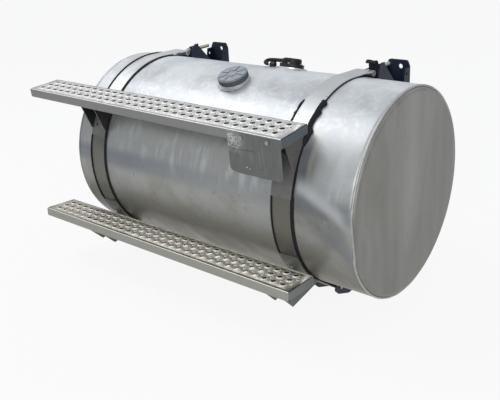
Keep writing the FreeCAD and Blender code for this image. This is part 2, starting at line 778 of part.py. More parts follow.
def straight_strip(pin, angle, depth, length=None):
    """Flat stretch of strap between the tank and a loop, or the last part of it beside the loop."""
    normal = polar(1, angle)
    outer_near = normal * (STRAP_OUT - depth)
    outer_far = pin + normal * (LOOP_R - depth)
    if length is not None:
        along = outer_near - outer_far
        along.normalize()
        outer_near = outer_far + along * length
    inner_far = outer_far - normal * STRAP_T
    inner_near = outer_near - normal * STRAP_T
    return side_face([(point.y, point.z) for point in (outer_near, outer_far, inner_far, inner_near)])


def strap(middle):
    """Steel band from the horn's bolt, over the top and front, to the pin in the bracket's toe."""
    upper = tangent_angle(top_pin(), 1)
    lower = tangent_angle(anchor_pin(), -1) % 360
    parts = [arc_band(STRAP_IN, STRAP_OUT, upper, lower, STRAP_W)]
    for pin, angle in ((top_pin(), upper), (anchor_pin(), lower)):
        run = plate_in_x(straight_strip(pin, angle, 0), STRAP_W)
        lap = plate_in_x(straight_strip(pin, angle, STRAP_T, LAP_LEN), STRAP_W)
        parts += [run, lap, ring(LOOP_R, PIN_R + FIT, STRAP_W, pin - Vector(STRAP_W / 2, 0, 0), X_AXIS)]
    band = fuse_all(parts)
    slot_reach = LOOP_R + STRAP_T
    slot = block(
        (BOLT_SLOT_W, slot_reach, 2 * LOOP_R),
        (-BOLT_SLOT_W / 2, TOP_PIN_Y, TOP_PIN_Z - LOOP_R),
    )
    cuts = [slot]
    for pin in (top_pin(), anchor_pin()):
        cuts.append(rod(PIN_R + FIT, STRAP_W, pin - Vector(STRAP_W / 2, 0, 0), X_AXIS))
    band = band.cut(Part.makeCompound(cuts))
    return band.translated(Vector(middle, 0, 0))


def strap_liner(middle):
    """Rubber strip between a strap and the tank."""
    return arc_band(LINER_IN, LINER_IN + LINER_T, LINER_TOP_ANGLE, LINER_END_ANGLE, LINER_W, middle)


def curled_liner(middle):
    """The right strip, whose loose tongue stands up beside the strap's bolt and curls forward."""
    foot_angle = math.degrees(math.acos((CURL_Y + LINER_T) / LINER_IN))
    strip = arc_band(LINER_IN, LINER_IN + LINER_T, foot_angle, LINER_END_ANGLE, LINER_W)
    wall_low = math.sqrt(LINER_IN ** 2 - CURL_Y ** 2)
    wall = block((CURL_W, LINER_T, CURL_TOP_Z - wall_low), (CURL_LEFT, CURL_Y, wall_low))
    wall = wall.cut(rod(LINER_IN, LINER_W, Vector(-LINER_W / 2, 0, 0), X_AXIS))
    curl_middle = Vector(CURL_LEFT, CURL_Y + LINER_T - CURL_R, CURL_TOP_Z)
    curl_face = polygon([
        curl_middle + Vector(0, CURL_R - LINER_T, 0),
        curl_middle + Vector(0, CURL_R, 0),
        curl_middle + Vector(CURL_W, CURL_R, 0),
        curl_middle + Vector(CURL_W, CURL_R - LINER_T, 0),
    ])
    curl = curl_face.revolve(curl_middle, X_AXIS, CURL_SWEEP)
    bolt_hole = rod(BOLT_R + LINER_HOLE_GAP, 2 * CURL_R, Vector(0, CURL_Y - CURL_R, TOP_PIN_Z), Y_AXIS)
    return fuse_all([strip, wall, curl]).cut(bolt_hole).translated(Vector(middle, 0, 0))


def t_bolt(middle):
    """Strap bolt: a cross bar in the strap's loop and a threaded shank through the horn's wall."""
    bar = rod(PIN_R, PIN_LEN, Vector(-PIN_LEN / 2, TOP_PIN_Y, TOP_PIN_Z), X_AXIS)
    shank = rod(BOLT_R, BOLT_LEN, Vector(0, TOP_PIN_Y, TOP_PIN_Z), Y_AXIS)
    return bar.fuse(shank).removeSplitter().translated(Vector(middle, 0, 0))


def bolt_seat_y():
    """Where the washer lies against the back of the horn's wall."""
    return HORN_WALL_Y + HORN_WALL_T


def bolt_washer(middle):
    """Washer on the horn's wall."""
    return ring(WASHER_R, BOLT_R + RUNNING, WASHER_T, Vector(middle, bolt_seat_y(), TOP_PIN_Z), Y_AXIS)


def bolt_nut(middle, number):
    """Nut on the strap bolt; the second one locks the first."""
    nut = hexagon(NUT_AF, NUT_H, CENTRE).cut(rod(BOLT_R + RUNNING, NUT_H, CENTRE, Z_AXIS))
    start = bolt_seat_y() + WASHER_T + number * NUT_H
    turned = nut.rotated(CENTRE, X_AXIS, -90)
    return turned.translated(Vector(middle, start, TOP_PIN_Z))


def anchor_bar(middle):
    """Pin through the bracket's toe and the strap's lower loop, with a flat head at one end."""
    length = BRACKET_W + 2 * ANCHOR_STAND_OUT
    end = anchor_pin() + Vector(middle - length / 2, 0, 0)
    pin = rod(PIN_R, length, end, X_AXIS)
    head_start = end + Vector(ANCHOR_STAND_OUT - ANCHOR_HEAD_T, 0, 0)
    head_disc = rod(ANCHOR_HEAD_R, ANCHOR_HEAD_T, head_start, X_AXIS)
    cotter_start = end + Vector(length - COTTER_FROM_END, 0, -2 * PIN_R)
    cotter_hole = rod(COTTER_R, 4 * PIN_R, cotter_start, Z_AXIS)
    return pin.fuse(head_disc).cut(cotter_hole).removeSplitter()


def horn_corners(side):
    """Shoulder and apex of the horn on one side; the left web stays lower than the right one."""
    shoulder_rise = SHOULDER_RISE if side > 0 else FAR_SHOULDER_RISE
    apex_rise = APEX_RISE if side > 0 else FAR_APEX_RISE
    shoulder = (TOP_PIN_Y + SHOULDER_BACK, TOP_PIN_Z + shoulder_rise)
    return shoulder, (TOP_PIN_Y + APEX_BACK, TOP_PIN_Z + apex_rise)


def bracket_outline(side):
    """Side outline of a J bracket's web, from the horn round the heel to the toe."""
    horn_foot = polar(SADDLE_IN, HORN_FOOT_ANGLE)
    toe_root = polar(SADDLE_IN, TOE_ANGLE)
    upright = UPRIGHT_Y + UPRIGHT_T / 2
    points = [
        (0, 0),
        (horn_foot.y, horn_foot.z),
        *horn_corners(side),
        NOTCH,
        (upright, NOTCH[1]),
        (upright, FOOT_Z),
        (TOE_FLAT_Y, FOOT_Z),
        TOE_POINTS[0],
        TOE_POINTS[1],
        (toe_root.y, toe_root.z),
    ]
    return side_face(points)


def round_corners(solid, corners, radius):
    """Round the edges of a web that run along X through the given corner points."""
    chosen = []
    for edge in solid.Edges:
        box = edge.BoundBox
        if box.YLength > SAME or box.ZLength > SAME:
            continue
        for y, z in corners:
            if abs(box.YMin - y) < SAME and abs(box.ZMin - z) < SAME:
                chosen.append(edge)
    return solid.makeFillet(radius, chosen)


def bracket_web(side):
    """One side web of a J bracket, centred on x = 0."""
    web = plate_in_x(bracket_outline(side), WEB_T)
    web = round_corners(web, horn_corners(side), HORN_CORNER_R)
    web = round_corners(web, [NOTCH], NOTCH_R)
    web = round_corners(web, TOE_POINTS, TOE_CORNER_R)
    web = round_corners(web, [(UPRIGHT_Y + UPRIGHT_T / 2, FOOT_Z)], HEEL_R)
    tank = rod(SADDLE_IN, WEB_T, Vector(-WEB_T / 2, 0, 0), X_AXIS)
    pin = anchor_pin()
    pin_hole = rod(PIN_R + FIT, WEB_T, Vector(-WEB_T / 2, pin.y, pin.z), X_AXIS)
    return web.cut(tank).cut(pin_hole)


def upright_plate():
    """Back plate that lies on the frame rail, narrower at its top."""
    half = UPRIGHT_W / 2
    half_top = UPRIGHT_TOP_W / 2
    shoulder = UPRIGHT_TOP_Z - SHOULDER_DROP
    outline = [
        Vector(-half, UPRIGHT_Y, UPRIGHT_END_Z),
        Vector(half, UPRIGHT_Y, UPRIGHT_END_Z),
        Vector(half, UPRIGHT_Y, shoulder),
        Vector(half_top, UPRIGHT_Y, UPRIGHT_TOP_Z),
        Vector(-half_top, UPRIGHT_Y, UPRIGHT_TOP_Z),
        Vector(-half, UPRIGHT_Y, shoulder),
    ]
    plate = polygon(outline).extrude(Vector(0, UPRIGHT_T, 0))
    return plate.makeFillet(UPRIGHT_CORNER_R, edges_along_y(plate, shoulder, UPRIGHT_TOP_Z))


def upright_flange(side):
    """Side flange of the upright, cut back to clear the tank."""
    top = UPRIGHT_TOP_Z - FLANGE_TOP_DROP
    x = side * (UPRIGHT_W - FLANGE_T) / 2
    face = side_face([
        (UPRIGHT_Y - FLANGE_D + FLANGE_TOP_CUT, top),
        (UPRIGHT_Y, top),
        (UPRIGHT_Y, UPRIGHT_END_Z),
        (UPRIGHT_Y - FLANGE_WIDE_D, UPRIGHT_END_Z),
        (UPRIGHT_Y - FLANGE_WIDE_D, UPRIGHT_TOP_Z - FLANGE_WIDE_DROP),
        (UPRIGHT_Y - FLANGE_D, top - FLANGE_TAPER_DROP),
    ])
    flange = plate_in_x(face, FLANGE_T, x)
    tank = rod(TANK_R + FLANGE_TANK_GAP, FLANGE_T, Vector(x - FLANGE_T / 2, 0, 0), X_AXIS)
    hole_at = Vector(x - FLANGE_T / 2, UPRIGHT_Y - FLANGE_HOLE_IN, top - FLANGE_HOLE_DROP)
    return flange.cut(tank).cut(rod(FLANGE_HOLE_R, FLANGE_T, hole_at, X_AXIS))


def rail_holes():
    """Holes through the upright for the rail bolts."""
    through = 3 * UPRIGHT_T
    start_y = UPRIGHT_Y - UPRIGHT_T
    holes = [rod(RAIL_HOLE_R, through, Vector(TOP_HOLE_X, start_y, UPRIGHT_TOP_Z - TOP_HOLE_DROP), Y_AXIS)]
    for side_x in (-1, 1):
        for side_z in (-1, 1):
            x = side_x * RAIL_HOLES_X / 2
            z = RAIL_HOLES_MID_Z + side_z * RAIL_HOLES_Z / 2
            holes.append(rod(RAIL_HOLE_R, through, Vector(x, start_y, z), Y_AXIS))
    return Part.makeCompound(holes)


def horn_wall():
    """Cross wall of the horn that the strap's bolt pulls on; its top slopes down to the left web."""
    half = (BRACKET_W - WEB_T) / 2
    outline = polygon([
        Vector(-half, HORN_WALL_Y, TOP_PIN_Z - WALL_DROP),
        Vector(half, HORN_WALL_Y, TOP_PIN_Z - WALL_DROP),
        Vector(half, HORN_WALL_Y, TOP_PIN_Z + WALL_RISE_NEAR),
        Vector(-half, HORN_WALL_Y, TOP_PIN_Z + WALL_RISE_FAR),
    ])
    wall = outline.extrude(Vector(0, HORN_WALL_T, 0))
    return wall.cut(rod(SADDLE_IN + SADDLE_T / 2, BRACKET_W, Vector(-BRACKET_W / 2, 0, 0), X_AXIS))


def j_bracket(middle):
    """Welded steel bracket: saddle, two webs, the horn's wall and the upright with its flanges."""
    saddle = arc_band(SADDLE_IN, SADDLE_OUT, SADDLE_END_ANGLE, SADDLE_TOP_ANGLE, BRACKET_W)
    parts = [saddle, upright_plate(), upright_flange(-1), upright_flange(1)]
    for side in (-1, 1):
        parts.append(bracket_web(side).translated(Vector(side * (BRACKET_W - WEB_T) / 2, 0, 0)))
    parts.append(horn_wall())
    frame = fuse_all(parts).cut(rail_holes())
    hole_start = Vector(0, HORN_WALL_Y - HORN_WALL_T, TOP_PIN_Z)
    bolt_hole = rod(BOLT_R + HOLE_CLEARANCE, 3 * HORN_WALL_T, hole_start, Y_AXIS)
    return frame.cut(bolt_hole).translated(Vector(middle, 0, 0))


def bracket_pad(middle):
    """Rubber pad between a bracket's saddle and the tank."""
    start = SADDLE_END_ANGLE + PAD_INSET_ANGLE
    end = SADDLE_TOP_ANGLE - PAD_INSET_ANGLE
    return arc_band(PAD_IN, PAD_IN + PAD_T, start, end, BRACKET_W - WEB_T, middle)


def grip_hole(x, y, radius, sides):
    """Outline of one hole in a tread."""
    points = []
    for number in range(sides):
        turn = 2 * math.pi * (number + 0.5) / sides
        points.append(Vector(x + radius * math.cos(turn), y + radius * math.sin(turn), 0))
    return Part.makePolygon(points + [points[0]])


def tread():
    """Flat top of a step, its top face at z = 0: rows of grip holes with smaller holes between them."""
    corners = [Vector(0, 0, 0), Vector(STEP_LEN, 0, 0), Vector(STEP_LEN, STEP_D, 0), Vector(0, STEP_D, 0)]
    wires = [Part.makePolygon(corners + [corners[0]])]
    for row in range(GRIP_ROWS):
        y = STEP_D / 2 + (row - (GRIP_ROWS - 1) / 2) * GRIP_ROW_PITCH
        for column in range(GRIP_COLUMNS):
            x = GRIP_END + column * GRIP_PITCH
            wires.append(grip_hole(x, y, GRIP_R, GRIP_SIDES))
            if row < GRIP_ROWS - 1:
                between = (x + GRIP_PITCH / 2, y + GRIP_ROW_PITCH / 2)
                wires.append(grip_hole(*between, SMALL_GRIP_R, SMALL_GRIP_SIDES))
    return Part.Face(wires, "Part::FaceMakerBullseye").extrude(Vector(0, 0, -STEP_T))


def grip_step(left):
    """Folded step in its own frame: tread, front and back aprons, a lip under the front and welded ends."""
    below = STEP_H - STEP_T
    front = block((STEP_LEN, STEP_T, below), (0, 0, -STEP_H))
    back = block((STEP_LEN, STEP_T, below), (0, STEP_D - STEP_T, -STEP_H))
    lip = block((STEP_LEN, STEP_LIP, STEP_T), (0, 0, -STEP_H))
    ends = [block((STEP_T, STEP_D, below), (end, 0, -STEP_H)) for end in (0, STEP_LEN - STEP_T)]
    step = fuse_all([tread(), front, back, lip] + ends)
    return step.translated(Vector(left, 0, 0))


def on_upper_step(shape):
    """Carry a shape from the upper step's frame, with its origin in front of the left strap, to its place."""
    turn = FreeCAD.Rotation(X_AXIS, UPPER_STEP_PITCH).multiply(FreeCAD.Rotation(Y_AXIS, UPPER_STEP_TILT))
    return placed(shape, FreeCAD.Placement(Vector(STRAP_LEFT_X, UPPER_STEP_Y, UPPER_STEP_Z), turn))


def on_lower_step(shape):
    """The same for the lower step, whose back edge hangs a little."""
    turn = FreeCAD.Rotation(X_AXIS, LOWER_STEP_PITCH)
    return placed(shape, FreeCAD.Placement(Vector(STRAP_LEFT_X, LOWER_STEP_Y, LOWER_STEP_Z), turn))


def clamp_plate(start, end):
    """Curved plate of a step bracket that lies on the strap."""
    return arc_band(CLAMP_IN, CLAMP_OUT, start, end, STEP_BRACKET_W)


def step_webs(points, room):
    """The two side webs of a step bracket, cut to the strap's curve and to the step's room."""
    webs = []
    for side in (-1, 1):
        x = side * (STEP_BRACKET_W - STEP_BRACKET_T) / 2
        web = plate_in_x(side_face(points), STEP_BRACKET_T, x)
        strap_face = rod(CLAMP_IN, STEP_BRACKET_T, Vector(x - STEP_BRACKET_T / 2, 0, 0), X_AXIS)
        webs.append(web.cut(strap_face).cut(room))
    return webs


def stud_hole(angle):
    """Hole in a clamp plate for a stud."""
    start = polar(CLAMP_IN - STEP_BRACKET_T, angle, STUD_SHIFT)
    return rod(STUD_R + HOLE_CLEARANCE, 3 * STEP_BRACKET_T, start, polar(1, angle))


def step_room(left):
    """Space that a step takes among its brackets' webs, in the step's frame."""
    tread_room = block((STEP_LEN, STEP_D, STEP_H), (left, 0, -STEP_T))
    back_y = STEP_D - STEP_T - FIT
    back_room = block((STEP_LEN, STEP_T + 2 * UPPER_WEB_BACK, 2 * STEP_H), (left, back_y, -STEP_H - FIT))
    return tread_room.fuse(back_room)


def upper_step_bracket(side):
    """Bracket under the upper step: triangular webs down to a point on the strap."""
    tip = polar(TANK_R + UPPER_TIP_OUT, UPPER_TIP_ANGLE)
    tip_on_strap = polar(CLAMP_IN - WEB_BITE, 180 - math.degrees(math.asin(tip.z / CLAMP_IN)))
    points = [
        (UPPER_STEP_Y + UPPER_WEB_FRONT, UPPER_STEP_Z + UPPER_WEB_RISE),
        (UPPER_STEP_Y + STEP_D + UPPER_WEB_BACK, UPPER_STEP_Z + UPPER_WEB_RISE),
        (tip_on_strap.y, tip_on_strap.z),
        (tip.y, tip.z),
    ]
    room = on_upper_step(step_room(UPPER_STEP_LEFT)).translated(Vector(-STRAPS[side], 0, 0))
    shape = fuse_all([clamp_plate(UPPER_CLAMP_START, UPPER_CLAMP_ENDS[side])] + step_webs(points, room))
    shape = shape.cut(stud_hole(UPPER_STUD_ANGLE)).cut(stud_hole(UPPER_SPARE_ANGLE))
    return shape.translated(Vector(STRAPS[side], 0, 0))


def lower_step_bracket(side):
    """Bracket under the lower step: webs that run out from the strap below the step."""
    apron_end = LOWER_STEP_Z - STEP_H
    knee = (LOWER_STEP_Y + LOWER_KNEE_IN, apron_end - LOWER_KNEE_DROP)
    heel = polar(CLAMP_OUT, LOWER_CLAMP_END)
    inner_heel = polar(CLAMP_IN - WEB_BITE, LOWER_CLAMP_END)
    inner_top = polar(CLAMP_IN - WEB_BITE, 180 + math.degrees(math.asin(-apron_end / CLAMP_IN)))
    points = [
        (knee[0], LOWER_STEP_Z),
        (inner_top.y, LOWER_STEP_Z),
        (inner_heel.y, inner_heel.z),
        (heel.y, heel.z),
        (LOWER_STEP_Y + LOWER_TIP_IN, apron_end - LOWER_TIP_DROP),
        knee,
    ]
    room = on_lower_step(step_room(LOWER_STEP_LEFT)).translated(Vector(-STRAPS[side], 0, 0))
    shape = fuse_all([clamp_plate(LOWER_CLAMP_START, LOWER_CLAMP_END)] + step_webs(points, room))
    return shape.cut(stud_hole(LOWER_STUD_ANGLE)).translated(Vector(STRAPS[side], 0, 0))


def clamp_stud(middle, angle):
    """Stud and round head that hold a step bracket to its strap."""
    out = polar(1, angle)
    base = polar(STRAP_OUT + FIT / 2, angle, middle + STUD_SHIFT)
    shank = rod(STUD_R, STEP_BRACKET_T + STUD_REACH, base, out)
    head_at = polar(CLAMP_OUT + FIT / 2, angle, middle + STUD_SHIFT)
    return shank.fuse(rod(STUD_HEAD_R, STUD_HEAD_H, head_at, out)).removeSplitter()


def plate_corner():
    """Upper left corner of the front plate, in the upper step's frame."""
    return Vector(UPPER_STEP_LEFT + STEP_LEN - PLATE_LEN, 0, -PLATE_TOP_GAP)


def front_plate():
    """Sheet plate screwed to the front of the upper step, hanging below it."""
    corner = plate_corner()
    low = corner - Vector(0, PLATE_T, PLATE_DROP)
    plate = block((PLATE_LEN, PLATE_T, PLATE_DROP), (low.x, low.y, low.z))
    plate = plate.makeFillet(PLATE_CORNER_R, edges_along_y(plate, low.z, low.z))
    face = corner - Vector(0, PLATE_T, 0)
    holes = []
    for x in PLATE_SCREW_X:
        holes.append(rod(PLATE_SCREW_R + RUNNING, PLATE_T, face + Vector(x, 0, -PLATE_SCREW_DROP), Y_AXIS))
    for x in PLATE_HOLE_X:
        holes.append(rod(PLATE_HOLE_R, PLATE_T, face + Vector(x, 0, -PLATE_HOLE_DROP), Y_AXIS))
    return on_upper_step(plate.cut(Part.makeCompound(holes)))


def plate_screws():
    """Round-headed screws through the front plate."""
    screws = []
    for x in PLATE_SCREW_X:
        seat = plate_corner() + Vector(x, -PLATE_T, -PLATE_SCREW_DROP)
        shank = rod(PLATE_SCREW_R, PLATE_T, seat, Y_AXIS)
        top = rod(PLATE_SCREW_HEAD_R, PLATE_SCREW_HEAD_H, seat, -Y_AXIS)
        screws.append(on_upper_step(shank.fuse(top).removeSplitter()))
    return Part.makeCompound(screws)


def all_pieces():
    """Every node's name and shape, in the tank's frame."""
    right_head = head()
    pieces = {
        "tank_shell": tank_shell(),
        "head_right": right_head,
        "head_left": right_head.mirror(CENTRE, X_AXIS),
        "baffle_right": baffle().translated(Vector(BAFFLE_X, 0, 0)),
        "baffle_left": baffle().mirror(CENTRE, X_AXIS).translated(Vector(-BAFFLE_X, 0, 0)),
        "filler_neck": filler_neck(),
        "cap_seal": cap_seal(),
        "fuel_cap": fuel_cap(),
        "sender_boss": sender_boss(),
        "sender_gasket": sender_gasket(),
        "sender_cover": sender_cover(),
        "sender_screws": sender_screws(),
        "sender_stem": sender_stem(),
        "float_arm": float_arm(),
        "sender_float": sender_float(),
        "loom_sleeve": loom_sleeve(),
        "loom_plug": loom_plug(),
        "draw_fitting": port_fitting(DRAW_PORT_X),
        "draw_tube": port_tube(DRAW_PORT_X, draw_tube_len()),
        "return_fitting": port_fitting(RETURN_PORT_X),
        "return_tube": port_tube(RETURN_PORT_X, RETURN_TUBE_LEN),
        "drain_boss": drain_boss(),
        "drain_plug": drain_plug(),
        "strap_liner_left": strap_liner(STRAP_LEFT_X),
        "strap_liner_right": curled_liner(STRAP_RIGHT_X),
        "upper_step": on_upper_step(grip_step(UPPER_STEP_LEFT)),
        "lower_step": on_lower_step(grip_step(LOWER_STEP_LEFT)),
        "front_plate": front_plate(),
        "plate_screws": plate_screws(),
    }
    for side, middle in STRAPS.items():
        pieces["strap_" + side] = strap(middle)
        pieces["bracket_" + side] = j_bracket(middle)
        pieces["bracket_pad_" + side] = bracket_pad(middle)
        pieces["upper_step_bracket_" + side] = upper_step_bracket(side)
        pieces["lower_step_bracket_" + side] = lower_step_bracket(side)
    groups = {
        "strap_bolts": [t_bolt(middle) for middle in STRAPS.values()],
        "strap_washers": [bolt_washer(middle) for middle in STRAPS.values()],
        "strap_nuts": [bolt_nut(middle, number) for middle in STRAPS.values() for number in (0, 1)],
        "anchor_pins": [anchor_bar(middle) for middle in STRAPS.values()],
        "upper_studs": [clamp_stud(middle, UPPER_STUD_ANGLE) for middle in STRAPS.values()],
        "lower_studs": [clamp_stud(middle, LOWER_STUD_ANGLE) for middle in STRAPS.values()],
    }
    for name, solids in groups.items():
        pieces[name] = Part.makeCompound(solids)
    return pieces


def main():
    """Write one STEP file for each piece."""
    os.makedirs("parts", exist_ok=True)
    for name, shape in all_pieces().items():
        solids = shape.Solids
        valid = all(solid.isValid() for solid in solids)
        moved = shape.translated(-ORIGIN)
        moved.exportStep("parts/" + name + ".step")
        print(name, "solids", len(solids), "valid", valid, "cm3", round(shape.Volume / 1000, 1))


main()
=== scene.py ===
"""Looks of the truck fuel tank: surfaces, dents, grip treads, rubber strips, threads, light and camera.

Lengths are in metres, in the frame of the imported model. Places on the tank are given by x from the
middle of its axis and by an angle in degrees round that axis, counted from the rear (+Y) towards the
top, so 90 is the top and 180 the front.
"""
import math

import bmesh
import bpy
from mathutils import Matrix, Vector, noise
from mathutils.geometry import delaunay_2d_cdt


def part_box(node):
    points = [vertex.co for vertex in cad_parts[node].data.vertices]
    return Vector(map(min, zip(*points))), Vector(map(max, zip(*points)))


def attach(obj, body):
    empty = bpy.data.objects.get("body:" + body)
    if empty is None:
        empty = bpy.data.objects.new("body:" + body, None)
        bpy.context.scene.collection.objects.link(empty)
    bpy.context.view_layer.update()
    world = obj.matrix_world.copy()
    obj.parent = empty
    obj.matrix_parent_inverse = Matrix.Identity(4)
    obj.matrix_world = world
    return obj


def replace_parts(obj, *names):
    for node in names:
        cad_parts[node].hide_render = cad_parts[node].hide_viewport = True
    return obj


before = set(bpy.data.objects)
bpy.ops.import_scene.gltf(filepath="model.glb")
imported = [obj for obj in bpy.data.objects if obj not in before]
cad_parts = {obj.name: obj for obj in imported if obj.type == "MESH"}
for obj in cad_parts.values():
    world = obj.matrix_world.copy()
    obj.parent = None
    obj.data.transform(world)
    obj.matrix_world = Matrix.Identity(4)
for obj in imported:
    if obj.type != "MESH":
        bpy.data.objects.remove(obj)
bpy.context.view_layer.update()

# The tank, read from its wrapper
WRAPPER_LOW, WRAPPER_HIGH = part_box("tank_shell")
MIDDLE = (WRAPPER_LOW + WRAPPER_HIGH) / 2
TANK_R = (WRAPPER_HIGH.z - WRAPPER_LOW.z) / 2
SHELL_END = (WRAPPER_HIGH.x - WRAPPER_LOW.x) / 2
HALF_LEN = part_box("head_right")[1].x - MIDDLE.x
SHELL_T = 0.0032
HEAD_T = 0.0048
KNUCKLE_R = 0.016
SKIRT_LEN = 0.024
ROUND_STEPS = 264
SHELL_STEPS = 132

# Fittings in the wrapper
FILLER_X = 0.009
FILLER_ANGLE = 109.9
NECK_HOLE_R = 0.0445
COLLAR_R = 0.0494
SENDER_X = 0.089
SENDER_ANGLE = 74.0
BOSS_HOLE_R = 0.040
BOSS_R = 0.050
PORT_Y = 0.200
PORT_Z = math.sqrt(TANK_R ** 2 - PORT_Y ** 2)
PORT_XS = (-0.060, -0.125)
PORT_HOLE_R = 0.013
PORT_WELD_R = 0.0165
DRAIN_X = 0.060
DRAIN_HOLE_R = 0.015
HOLE_DEEP = 0.06
HEAD_BEAD = 0.0034
HEAD_BEAD_STEPS = 720
FITTING_BEAD = 0.0024
PORT_BEAD = 0.002
BEAD_GAP = 0.001

# Straps and rubber strips
STRAP_XS = {"left": -0.465, "right": 0.349}
STRAP_HALF_W = 0.032
LINER_IN = TANK_R + 0.0003
LINER_T = 0.003
LINER_END_ANGLE = 238.0
LINER_TOP_ANGLE = 70.0
CURL_Y = 0.151
CURL_TOP_Z = 0.349
CURL_R = 0.012
CURL_LEFT = 0.001
CURL_W = 0.034
CURL_SWEEP = 155.0

# Grip steps: places in front of the left strap, and how they lean
STEP_LEN = 1.134
STEP_D = 0.126
STEP_H = 0.031
STEP_T = 0.0025
UPPER_STEP_LEFT = -0.277
UPPER_STEP_OUT = 0.0515
UPPER_STEP_ANGLE = 51.75
UPPER_STEP_TILT = 0.51
UPPER_STEP_PITCH = 4.2
UPPER_STEP_TWIST = 0.0014
LOWER_STEP_LEFT = -0.239
LOWER_STEP_OUT = 0.093
LOWER_STEP_ANGLE = -34.3
LOWER_STEP_PITCH = -3.0
LOWER_STEP_TWIST = 0.0018
STEP_BEND_R = 0.003
STEP_LIP = 0.012
GRIP_ROWS = 3
GRIP_COLUMNS = 31
GRIP_ROW_PITCH = 0.0333
GRIP_END = 0.040
CRATER_FOOT_R = 0.0124
CRATER_RIM_R = 0.0096
CRATER_HOLE_R = 0.0083
CRATER_H = 0.0026
CRATER_TEETH = 8
STUD_FOOT_R = 0.0058
STUD_RIM_R = 0.0044
STUD_HOLE_R = 0.0034
STUD_H = 0.0016
HOLE_CELL = 0.02

# Plate on the front of the upper step
PLATE_LEN = 0.190
PLATE_T = 0.002
PLATE_TOP = -0.004
PLATE_OUTLINE = (
    (0.0, 0.0), (-0.0012, -0.062), (0.0004, -0.108), (0.0022, -0.1165), (0.0085, -0.1215),
    (0.022, -0.1245), (0.052, -0.1275), (0.090, -0.1265), (0.120, -0.1275), (0.155, -0.1258),
    (0.181, -0.1250), (0.1875, -0.1225), (0.1898, -0.117), (0.190, -0.060), (0.190, 0.0),
)
PLATE_SCREWS = ((0.052, -0.014), (0.145, -0.014))
PLATE_HOLES = ((0.069, -0.101), (0.120, -0.101))
PLATE_SCREW_R = 0.0031
PLATE_HOLE_R = 0.0022
PLATE_GRID = 0.0095
PLATE_GRID_DEEP = 0.116
PLATE_MARKS = (
    (0.062, -0.104, 0.0022, 0.75), (0.072, -0.107, 0.0018, 0.70), (0.114, -0.102, 0.0020, 0.02),
)
PLATE_LINE_Z = -0.052

# Strap bolts
TOP_PIN_Y = 0.133
TOP_PIN_OUT = 0.0184
BOLT_R = 0.00635
BOLT_LEN = 0.151
HORN_WALL_BACK = 0.178
THREAD_FRONT = 0.144
THREAD_BACK = 0.2115
THREAD_PITCH = 0.0018
THREAD_DEPTH = 0.00055
THREAD_SINK = 0.0002

# Loom beside the sender
LOOM_R = 0.0065
LOOM_ROUTE = (
    (-0.042, 0.0, 0.0246), (-0.094, 0.0, 0.0246), (-0.103, -0.013, 0.0164),
    (-0.094, -0.026, 0.0082), (-0.069, -0.026, 0.0082),
)
LOOM_RIB = 0.0034
LOOM_RIB_STEPS = 6
LOOM_GROOVE = 0.0011
LOOM_PINCH = 0.9
LOOM_NEAR = 3
LOOM_FAR = 40
COLLAR_PROFILE = (
    (0.0066, 0.0), (0.0078, 0.0), (0.0092, 0.0006), (0.0092, 0.0044), (0.0080, 0.005), (0.0066, 0.005),
)
COLLAR_BACK = 0.0045

# Colours of the weathered metals, and of the light and shade painted on them
SHELL_TOP_DULL = (0.505, 0.53, 0.56)
SHELL_TOP_PALE = (0.655, 0.68, 0.71)
# Painted shade: duller colours laid down the wrapper's shoulder by its angle from the top
SHELL_SHOULDER_SHADE_DULL = (0.32, 0.335, 0.36)
SHELL_SHOULDER_SHADE_PALE = (0.44, 0.46, 0.48)
SHELL_TOP_BRIGHT = (0.68, 0.70, 0.72)
# Painted shade: darker colour over the wrapper's front face
SHELL_FRONT_SHADE = (0.325, 0.33, 0.32)
SHELL_WIPE = (0.46, 0.47, 0.475)
# Painted reflection and shade: dark band just under the step, for the horizon's reflection and the step's
# shadow
SHELL_REFLECTION_SHADE_BAND = (0.185, 0.20, 0.22)
# Painted shade: darker, warmer colour towards the wrapper's bottom
SHELL_LOW_SHADE = (0.158, 0.150, 0.124)
SHELL_STAIN = (0.15, 0.145, 0.13)
SHELL_TAN = (0.25, 0.232, 0.195)
# Painted highlight along the dent's ridge
SHELL_RIDGE_HIGHLIGHT = (0.62, 0.63, 0.64)
SHELL_END_PALE = (0.45, 0.46, 0.47)
SHELL_SCRATCH = (0.64, 0.65, 0.66)
# Painted shade: bluish dark for the shadow of the step's end beside the right strap, and along the crease
SHELL_PAINTED_SHADE = (0.16, 0.175, 0.20)
# Painted shade in the dent's hollow
SHELL_HOLLOW_SHADE = (0.115, 0.115, 0.105)
SHELL_RUN = (0.60, 0.56, 0.47)
HEAD_DULL = (0.158, 0.155, 0.142)
HEAD_PALE = (0.252, 0.248, 0.234)
HEAD_WARM = (0.205, 0.197, 0.177)
# Painted sheen on the head's face
HEAD_PAINTED_SHEEN = (0.315, 0.312, 0.30)
HEAD_SPECK = (0.08, 0.075, 0.07)
PLATE_DULL = (0.095, 0.098, 0.095)
PLATE_PALE = (0.16, 0.164, 0.16)
PLATE_RUBBED = (0.235, 0.235, 0.23)
# Pale flakes on the hammered corner, partly painted reflection of its curled metal
PLATE_FLAKE_AND_REFLECTION = (0.55, 0.55, 0.53)
PLATE_DARK = (0.03, 0.03, 0.03)
# Painted light: pale warm colour for the right web's outer face
WEB_LIT_FACE = (0.66, 0.60, 0.53)

# Light and floor
WORLD_LEVEL = 0.55
FLOOR_REACH = 30.0
FLOOR_WHITE = 0.90

# Camera, from the photograph's perspective
PHOTO_W = 500.0
SENSOR_MM = 36.0
FOCAL_PX = 706.2
CAMERA_AT = MIDDLE + Vector((4.525, -5.500, 2.530)) * TANK_R
CAMERA_YAW = math.radians(40.395)
CAMERA_PITCH = math.radians(-22.669)
CAMERA_ROLL = math.radians(-3.366)

Z_AXIS = Vector((0, 0, 1))


# Places

